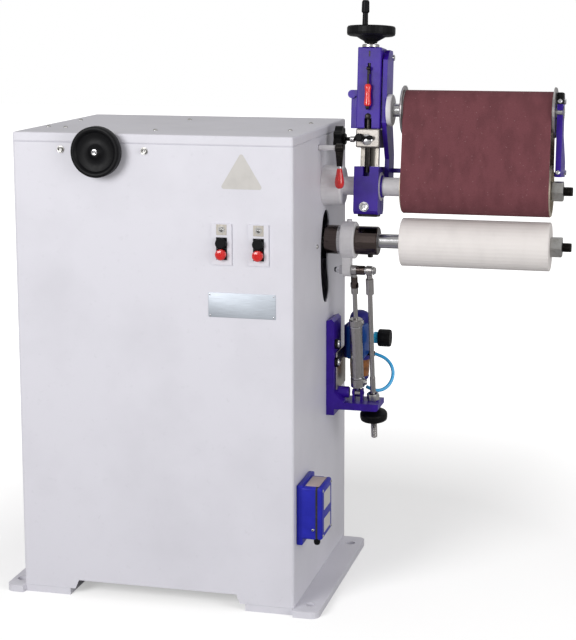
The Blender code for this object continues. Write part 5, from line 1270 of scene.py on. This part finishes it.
class SANDER_OT_feed(bpy.types.Operator):
    """Finish the feed roller, its shaft, collars and hanger, and add set screws and fittings"""

    bl_idname = "sander.feed"
    bl_label = "Feed roller"

    def execute(self, context):
        finish_nodes("rubber_sleeve", "feed_roller")
        finish_nodes("bright_shaft", "feed_shaft", "pivot_shaft", "link_pin")
        finish_nodes("collar_steel", "outer_collar")
        finish_nodes("casting_enamel_painted_light", "hanger_housing")
        finish_nodes("hammered_iron", "feed_arm", "feed_motor")
        low, high = corners(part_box("outer_collar"))
        radius = (high.z - low.z) / 2
        screws, bores = bmesh.new(), bmesh.new()
        for x, normal in (
            (low.x + 0.62 * (high.x - low.x), -UP),
            (low.x + 0.35 * (high.x - low.x), (UP * 0.8 - BACK * 0.6)),
            (low.x - 46 * MM, (UP * 0.9 - BACK * 0.45)), (low.x - 46 * MM, (-UP * 0.9 - BACK * 0.45))
        ):
            direction = Vector(normal).normalized()
            origin = Vector((x, FEED.y, FEED.z)) + direction * (radius - 1.5 * MM)
            at = facing(origin, direction, RIGHT)
            head = bores if normal[2] > 0 or x < low.x else screws
            share, tall = (1.0, 7 * MM) if head is screws else (0.7, 1.9 * MM)
            socket_head(head, at, sizes().set_screw * share, tall)
        piece("collar_set_screw", screws, "black_oxide_and_painted_shade", "feed_roller")
        piece("collar_set_bores", bores, "black_oxide_and_painted_shade", "feed_roller")
        inner = facing((low.x - 67.2 * MM, FEED.y, FEED.z), RIGHT)
        single(
            "inner_collar_band", "collar_steel", "feed_roller", washer, inner, radius - 0.6 * MM,
            radius + 0.35 * MM, 27.6 * MM
        )
        pin = pivot("stop_rod_tilt")
        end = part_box("link_pin")[1][0]
        at = facing((end - 0.5 * MM, pin.y, pin.z), RIGHT)
        single("link_pin_nut", "zinc_plate", "feed_arm", hex_head, at, 8.0 * MM, 5.0 * MM)
        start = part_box("link_pin")[0][0]
        at = facing((start + 1.2 * MM, pin.y, pin.z), -RIGHT)
        dome = in_mm([(6.6, 6), (6.2, 9), (4.4, 11.6), (0, 12.6)])
        single(
            "link_acorn_nut", "chrome", "feed_arm", add_turned, at,
            in_mm([(0, 0), (8, 0, 6), (8, 6, 6)]) + dome, 36
        )
        housing_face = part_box("hanger_housing")[1][0]
        rod_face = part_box("stop_rod")[0][0]
        at = facing((housing_face + 0.4 * MM, pin.y, pin.z), RIGHT)
        single(
            "link_spacer", "collar_steel", "feed_arm", washer, at, 9.1 * MM, 10.4 * MM,
            rod_face - housing_face - 1.4 * MM
        )
        return {"FINISHED"}


class SANDER_OT_air_cylinder(bpy.types.Operator):
    """Finish the air cylinder and stop rod, and add their nuts, ports and thread"""

    bl_idname = "sander.air_cylinder"
    bl_label = "Air cylinder and stop"

    def execute(self, context):
        finish_nodes("upright_steel", "cylinder_body", "cylinder_rod", "stop_rod")
        finish_nodes("black_abs", "stop_knob")
        body_low, body_high = extent("cylinder_body", LINK)
        radius = (body_high.x - body_low.x) / 2
        bands = bmesh.new()
        for z, tall in ((38 * MM, 2.0 * MM), (161 * MM, 2.0 * MM)):
            at = raised(LINK, z)
            washer(bands, at, 13.5 * MM, 14.9 * MM, tall)
        piece("cylinder_bands", bands, "chrome", "cylinder_body")
        ports = bmesh.new()
        at = LINK @ facing((radius - 2 * MM, 0, 27 * MM), RIGHT)
        hex_head(ports, at, 6.5 * MM, 7 * MM)
        at = LINK @ facing((radius - 2 * MM, 0, 171 * MM), RIGHT)
        hex_head(ports, at, 5.0 * MM, 4 * MM)
        piece("cylinder_ports", ports, "zinc_plate", "cylinder_body")
        rod_high = extent("cylinder_rod", LINK)[1].z
        eye_centre = rod_high - 11 * MM
        at = raised(LINK, eye_centre - 41 * MM)
        single(
            "rod_lock_nut", "collar_steel", "cylinder_rod", add_turned, at,
            in_mm([(0, 0), (9.4, 0, 6), (9.4, 11, 6), (7.6, 12), (7.6, 25), (0, 25)]), 24
        )
        reach = body_low.z + 1 * MM
        single(
            "cylinder_foot", "bright_shaft", "cylinder_body", add_turned, LINK,
            [(0, reach), (5.4 * MM, reach), (6 * MM, reach + 1 * MM), (6 * MM, 18 * MM), (0, 18 * MM)],
            32
        )
        self.stop_nuts()
        return {"FINISHED"}

    def stop_nuts(self):
        """Nut and thread of the stop rod where it goes through the bracket."""
        knob_low, knob_high = extent("stop_knob", STOP)
        rod_low = extent("stop_rod", STOP)[0].z
        pitch = 1.5 * MM
        start, end = rod_low + 1 * MM, knob_low.z - 1 * MM
        core, crest = 6.5 * MM, 6.95 * MM
        profile = [(core, start)]
        for i in range(int((end - start) / pitch)):
            z = start + i * pitch
            profile += [(core, z + 0.1 * MM), (crest, z + pitch * 0.5), (crest, z + pitch * 0.62)]
        profile += [(core, end)]
        single("stop_thread", "upright_steel", "stop_rod", add_turned, STOP, profile, 28, sharp=25)
        places = [STOP.inverted() @ vert.co for vert in NODES["side_bracket"].data.vertices]
        top = max(place.z for place in places if math.hypot(place.x, place.y) < 13 * MM)
        single(
            "guide_nut", "zinc_plate", "cabinet", add_turned, STOP,
            [
                (9.2 * MM, top + 0.8 * MM), (12.4 * MM, top + 0.8 * MM), (14.6 * MM, top - 1.2 * MM, 6),
                (14.6 * MM, top - 14 * MM, 6), (9.2 * MM, top - 14 * MM)
            ],
            48, closed=True
        )
        single(
            "stop_washer", "zinc_plate", "stop_knob", washer, raised(STOP, knob_high.z), 6.9 * MM,
            9.8 * MM, 1.2 * MM
        )


class SANDER_OT_bracket(bpy.types.Operator):
    """Finish the side bracket and add its two bolts"""

    bl_idname = "sander.bracket"
    bl_label = "Side bracket"

    def execute(self, context):
        finish_nodes("violet_enamel", "side_bracket")
        low, high = corners(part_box("side_bracket"))
        leg = low.x + BRACKET_LEG
        bolts, spacers = bmesh.new(), bmesh.new()
        for z in (high.z - 58 * MM, high.z - 100 * MM):
            at = facing((leg, low.y + 14 * MM, z), RIGHT)
            washer(spacers, at, 0.0, 11.5 * MM, 6.4 * MM)
            pan_head(bolts, raised(at, 6.4 * MM), sizes().bolt)
        piece("bracket_spacers", spacers, "black_oxide_and_painted_shade", "cabinet")
        piece("bracket_bolts", bolts, "chrome", "cabinet")
        pin = pivot("cylinder_tilt")
        at = facing((leg - 1 * MM, pin.y, pin.z), RIGHT)
        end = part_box("cylinder_body")[0][0] - leg - 3 * MM
        single(
            "pivot_boss", "violet_enamel", "cabinet", add_turned, at,
            [
                (0, 0), (13 * MM, 0), (13 * MM, end - 2 * MM), (12 * MM, end - 0.5 * MM),
                (11 * MM, end), (0, end)
            ],
            40
        )
        return {"FINISHED"}


class SANDER_OT_regulator(bpy.types.Operator):
    """Rebuild the air regulator with its body, dome, bowl, plate, fittings and ribbed knob"""

    bl_idname = "sander.regulator"
    bl_label = "Air regulator"

    def execute(self, context):
        low, high = corners(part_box("air_regulator"))
        bowl_low, bowl_high = corners(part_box("filter_bowl"))
        middle = (bowl_low + bowl_high) / 2
        here = Matrix.Identity(4)
        base = bowl_high.z + 0.3 * MM
        core = single(
            "regulator_body", "regulator_blue", "cabinet", add_box, here,
            (middle.x - 20 * MM, low.y, base + 12 * MM), (middle.x + 22 * MM, high.y, base + 90 * MM),
            7 * MM, 4
        )
        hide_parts("air_regulator")
        dome = bmesh.new()
        at = facing((middle.x, middle.y, base + 86 * MM), UP, BACK)
        add_turned(
            dome, at, in_mm([(0, 0), (23, 0), (23.4, 12), (21, 20), (17, 25), (9, 28.6), (0, 29.2)]), 40
        )
        add_box(
            dome, here, (middle.x - 34 * MM, middle.y - 18 * MM, base + 4 * MM),
            (middle.x - 18 * MM, middle.y + 18 * MM, base + 84 * MM), 6 * MM, 3
        )
        piece("regulator_dome", dome, "violet_nylon", "cabinet")
        bracket_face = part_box("side_bracket")[0][0] + BRACKET_LEG
        single(
            "regulator_plate", "ground_steel", "cabinet", add_box, here,
            (bracket_face, low.y - 30 * MM, low.z + 2 * MM),
            (bracket_face + 4 * MM, middle.y, low.z + 88 * MM), 1 * MM
        )
        self.bowl(middle, bowl_low, base + 11.6 * MM)
        self.knob()
        return {"FINISHED"}

    def bowl(self, middle, low, top):
        """Amber filter bowl in a violet guard with a rounded foot."""
        at = facing((middle.x, middle.y, low.z), UP, BACK)
        tall = top - low.z
        bowl = single(
            "amber_cup", "amber_bowl", "cabinet", add_turned, at,
            [
                (0, 12 * MM), (20.5 * MM, 12 * MM), (21.6 * MM, 20 * MM), (22.6 * MM, 34 * MM),
                (22.8 * MM, tall), (0, tall)
            ],
            40
        )
        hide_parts("filter_bowl")
        guard = bmesh.new()
        add_turned(
            guard, at,
            in_mm([(0, 0.4), (9, 0.6), (16, 3.4), (20.4, 8.6), (21.8, 14), (20.4, 15), (0, 15)]), 40
        )
        washer(guard, raised(at, tall - 9 * MM), 22.4 * MM, 23.4 * MM, 9 * MM)
        piece("bowl_guard", guard, "violet_nylon", "cabinet")

    def knob(self):
        """Ribbed black valve knob with a cyan ring behind it."""
        low, high = corners(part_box("valve_knob"))
        centre = pivot("valve_turn")
        radius = (high.z - low.z) / 2
        depth = 28 * MM
        knob = bmesh.new()
        local = facing((high.x - depth, centre.y, centre.z), RIGHT)
        ribs = 20
        steps = ribs * 4
        rings = []
        profile = ((0.60, 0), (0.93, 0), (1.0, 2 * MM), (1.0, 25 * MM), (0.93, depth), (0.0, depth))
        for share, z in profile:
            loop = []
            for i in range(steps):
                turn = 2 * math.pi * i / steps
                dip = 1.0 - (0.035 if i % 4 in (0, 1) else 0.0) * (1 if share == 1.0 else 0)
                reach = radius * share * dip
                point = Vector((reach * math.cos(turn), reach * math.sin(turn), z))
                loop.append(knob.verts.new(local @ point))
            rings.append(loop)
        for a, b in zip(rings, rings[1:]):
            for i in range(steps):
                knob.faces.new((a[i - 1], a[i], b[i], b[i - 1]))
        knob.faces.new(rings[0])
        valve = piece("valve_grip", knob, "black_abs", "valve_knob")
        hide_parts("valve_knob")
        at = facing((low.x + 10.2 * MM, centre.y, centre.z), RIGHT)
        single(
            "valve_ring", "cyan_ring", "valve_knob", washer, at, 5 * MM, 13.4 * MM,
            high.x - depth - low.x - 10.2 * MM
        )


# Centre line of the air hose, in metres in the cabinet's frame (as in the part's source).
HOSE_ROUTE = [
    (0.3978, 0.4020, 0.4700), (0.4204, 0.4013, 0.4614), (0.4345, 0.3991, 0.4483),
    (0.4409, 0.3952, 0.4329), (0.4405, 0.3893, 0.4173), (0.4343, 0.3812, 0.4039),
    (0.4234, 0.3706, 0.3955), (0.4090, 0.3580, 0.3950), (0.3912, 0.3420, 0.4060)
]
HOSE_RADIUS = 4 * MM


def smooth_route(points, steps):
    """Points on a Catmull-Rom curve through the given points."""
    found = []
    last = len(points) - 1
    for i in range(last):
        before = Vector(points[max(i - 1, 0)])
        start, end = Vector(points[i]), Vector(points[i + 1])
        after = Vector(points[min(i + 2, last)])
        for step in range(steps):
            t = step / steps
            bend = 2 * before - 5 * start + 4 * end - after
            twist = 3 * start - before - 3 * end + after
            found.append(0.5 * (2 * start + (end - before) * t + bend * t * t + twist * t**3))
    found.append(Vector(points[-1]))
    return found


class SANDER_OT_air_hose(bpy.types.Operator):
    """Lay the blue air hose from the regulator to the cylinder's foot"""

    bl_idname = "sander.air_hose"
    bl_label = "Air hose"

    def execute(self, context):
        cabinet = Vector((MIDDLE_X, BODY_LOW.y, RAIL_TOP))
        points = [cabinet + point for point in smooth_route(HOSE_ROUTE, 3)]
        curve = bpy.data.curves.new("air_hose_line", "CURVE")
        curve.dimensions = "3D"
        curve.bevel_depth = HOSE_RADIUS
        curve.bevel_resolution = 4
        curve.use_fill_caps = True
        spline = curve.splines.new("POLY")
        spline.points.add(len(points) - 1)
        for point, place in zip(spline.points, points):
            point.co = (*place, 1)
        spline.use_smooth = True
        curve.materials.append(finish("polyurethane_hose"))
        body_face = points[0].x - 16 * MM
        at = facing((body_face, points[0].y, points[0].z), RIGHT)
        single(
            "hose_fitting", "black_abs", "cabinet", add_turned, at,
            in_mm(
                [
                    (0, 0), (6.8, 0, 6), (6.8, 6, 6), (5.2, 6.6), (5.2, 12.6), (6.0, 13.2), (6.0, 15.4),
                    (0, 15.4)
                ]
            ),
            30
        )
        hose = bpy.data.objects.new("air_line", curve)
        context.scene.collection.objects.link(hose)
        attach(hose, "cabinet")
        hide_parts("air_hose")
        return {"FINISHED"}


# ---------------------------------------------------------------- stage

# Edge length of the floor is twice this.
FLOOR_REACH = 14
# The floor's glow rises from its least to 1 between these two distances from the machine's middle.
GLOW_START, GLOW_END, GLOW_LEAST = 0.7, 2.0, 0.4
# Place in metres from the foot of the cabinet's front, angles in degrees, lens in mm, shift in
# picture heights.
CAMERA_PLACE = (1.117, -3.220, 1.299)
CAMERA_YAW = 14.32
CAMERA_PITCH = 9.27
CAMERA_ROLL = -0.14
CAMERA_LENS = 92.6
CAMERA_SHIFT = -0.100


class SANDER_OT_stage(bpy.types.Operator):
    """Set the pale floor, the soft lights, the white surroundings and the camera"""

    bl_idname = "sander.stage"
    bl_label = "Stage"

    def execute(self, context):
        scene = context.scene
        scene.view_settings.view_transform = "Standard"
        self.floor(scene)
        self.surroundings(scene)
        self.lamps(scene)
        self.camera(scene)
        return {"FINISHED"}

    def floor(self, scene):
        shape = bmesh.new()
        bmesh.ops.create_grid(shape, x_segments=1, y_segments=1, size=FLOOR_REACH)
        mesh = bpy.data.meshes.new("floor")
        shape.to_mesh(mesh)
        shape.free()
        floor = bpy.data.objects.new("floor", mesh)
        scene.collection.objects.link(floor)
        material = bpy.data.materials.new("studio_floor")
        material.use_nodes = True
        tree = material.node_tree
        tree.nodes.clear()
        rays = add_node(tree, "LightPath")
        place = add_node(tree, "TexCoord")
        reach = add_node(tree, "VectorMath", {0: place.outputs["Object"]}, operation="LENGTH")
        away = add_node(
            tree, "MapRange",
            {
                "Value": reach.outputs["Value"], "From Min": GLOW_START, "From Max": GLOW_END,
                "To Min": GLOW_LEAST, "To Max": 1.0
            }
        )
        matt = add_node(tree, "BsdfDiffuse", {"Color": (0.6, 0.6, 0.6, 1), "Roughness": 1.0})
        glow = add_node(tree, "Emission", {"Color": (1, 1, 1, 1), "Strength": away.outputs["Result"]})
        lit = add_node(tree, "AddShader", {0: matt.outputs[0], 1: glow.outputs[0]})
        out = add_node(
            tree, "MixShader", {0: rays.outputs["Is Camera Ray"], 1: matt.outputs[0], 2: lit.outputs[0]}
        )
        end = add_node(tree, "OutputMaterial")
        tree.links.new(out.outputs[0], end.inputs["Surface"])
        mesh.materials.append(material)

    def surroundings(self, scene):
        world = bpy.data.worlds.new("studio")
        scene.world = world
        world.use_nodes = True
        tree = world.node_tree
        tree.nodes.clear()
        rays = add_node(tree, "LightPath")
        seen = add_node(
            tree, "Math", {0: rays.outputs["Is Camera Ray"], 1: rays.outputs["Is Transmission Ray"]},
            operation="MAXIMUM"
        )
        soft = add_node(tree, "Background", {"Color": (1.0, 0.98, 0.97, 1), "Strength": 0.38})
        white = add_node(tree, "Background", {"Color": (1, 1, 1, 1), "Strength": 1.0})
        mirrored = add_node(tree, "Background", {"Color": (1, 1, 1, 1), "Strength": 0.55})
        shiny = rays.outputs["Is Glossy Ray"]
        first = add_node(tree, "MixShader", {0: shiny, 1: soft.outputs[0], 2: mirrored.outputs[0]})
        out = add_node(
            tree, "MixShader", {0: seen.outputs[0], 1: first.outputs[0], 2: white.outputs[0]}
        )
        end = add_node(tree, "OutputWorld")
        tree.links.new(out.outputs[0], end.inputs["Surface"])

    def lamps(self, scene):
        target = Vector((0.1, 0.0, 0.6))
        for name, place, size, power in (
            ("key_light", (-1.5, -3.4, 1.8), 1.8, 79.0), ("fill_light", (2.6, -1.6, 1.2), 1.8, 32.0),
            ("top_light", (0.2, 0.4, 3.2), 2.4, 8.0)
        ):
            data = bpy.data.lights.new(name, "AREA")
            data.shape = "DISK"
            data.size = size
            data.energy = power
            lamp = bpy.data.objects.new(name, data)
            lamp.location = place
            lamp.rotation_euler = (target - Vector(place)).to_track_quat("-Z", "Y").to_euler()
            scene.collection.objects.link(lamp)

    def camera(self, scene):
        data = bpy.data.cameras.new("camera")
        data.sensor_width = 36.0
        data.lens = CAMERA_LENS
        data.shift_y = CAMERA_SHIFT
        data.clip_start = 0.05
        camera = bpy.data.objects.new("camera", data)
        camera.location = Vector((MIDDLE_X, BODY_LOW.y, RAIL_TOP)) + Vector(CAMERA_PLACE)
        turn = Matrix.Rotation(math.radians(CAMERA_YAW), 3, "Z")
        tilt = Matrix.Rotation(math.radians(90 - CAMERA_PITCH), 3, "X")
        roll = Matrix.Rotation(math.radians(CAMERA_ROLL), 3, "Z")
        camera.rotation_euler = (turn @ tilt @ roll).to_euler()
        scene.collection.objects.link(camera)
        scene.camera = camera


# ---------------------------------------------------------------- panel and run

OPERATORS = (
    SANDER_OT_cabinet, SANDER_OT_screws, SANDER_OT_front_plates, SANDER_OT_switches,
    SANDER_OT_speed_dial, SANDER_OT_control_box, SANDER_OT_spindle, SANDER_OT_sanding_belt,
    SANDER_OT_head, SANDER_OT_arms, SANDER_OT_handwheel, SANDER_OT_levers, SANDER_OT_feed,
    SANDER_OT_air_cylinder, SANDER_OT_bracket, SANDER_OT_regulator, SANDER_OT_air_hose, SANDER_OT_stage
)


class SANDER_PT_looks(bpy.types.Panel):
    """Colours, sizes and pieces of the drum sander"""

    bl_idname = "SANDER_PT_looks"
    bl_label = "Drum sander"
    bl_space_type = "VIEW_3D"
    bl_region_type = "UI"
    bl_category = "Drum sander"

    def draw(self, context):
        for settings in (context.scene.sander_colours, context.scene.sander_sizes):
            column = self.layout.column(align=True)
            for name in settings.__annotations__:
                column.prop(settings, name)
        for operator in OPERATORS:
            self.layout.operator(operator.bl_idname)


CLASSES = (SanderColours, SanderSizes) + OPERATORS + (SANDER_PT_looks,)


def register():
    for entry in CLASSES:
        bpy.utils.register_class(entry)
    bpy.types.Scene.sander_colours = bpy.props.PointerProperty(type=SanderColours)
    bpy.types.Scene.sander_sizes = bpy.props.PointerProperty(type=SanderSizes)


def unregister():
    del bpy.types.Scene.sander_colours
    del bpy.types.Scene.sander_sizes
    for entry in reversed(CLASSES):
        bpy.utils.unregister_class(entry)


def main():
    """Builds every piece in order."""
    register()
    for operator in OPERATORS:
        group, name = operator.bl_idname.split(".")
        getattr(getattr(bpy.ops, group), name)()


if __name__ == "__main__":
    main()
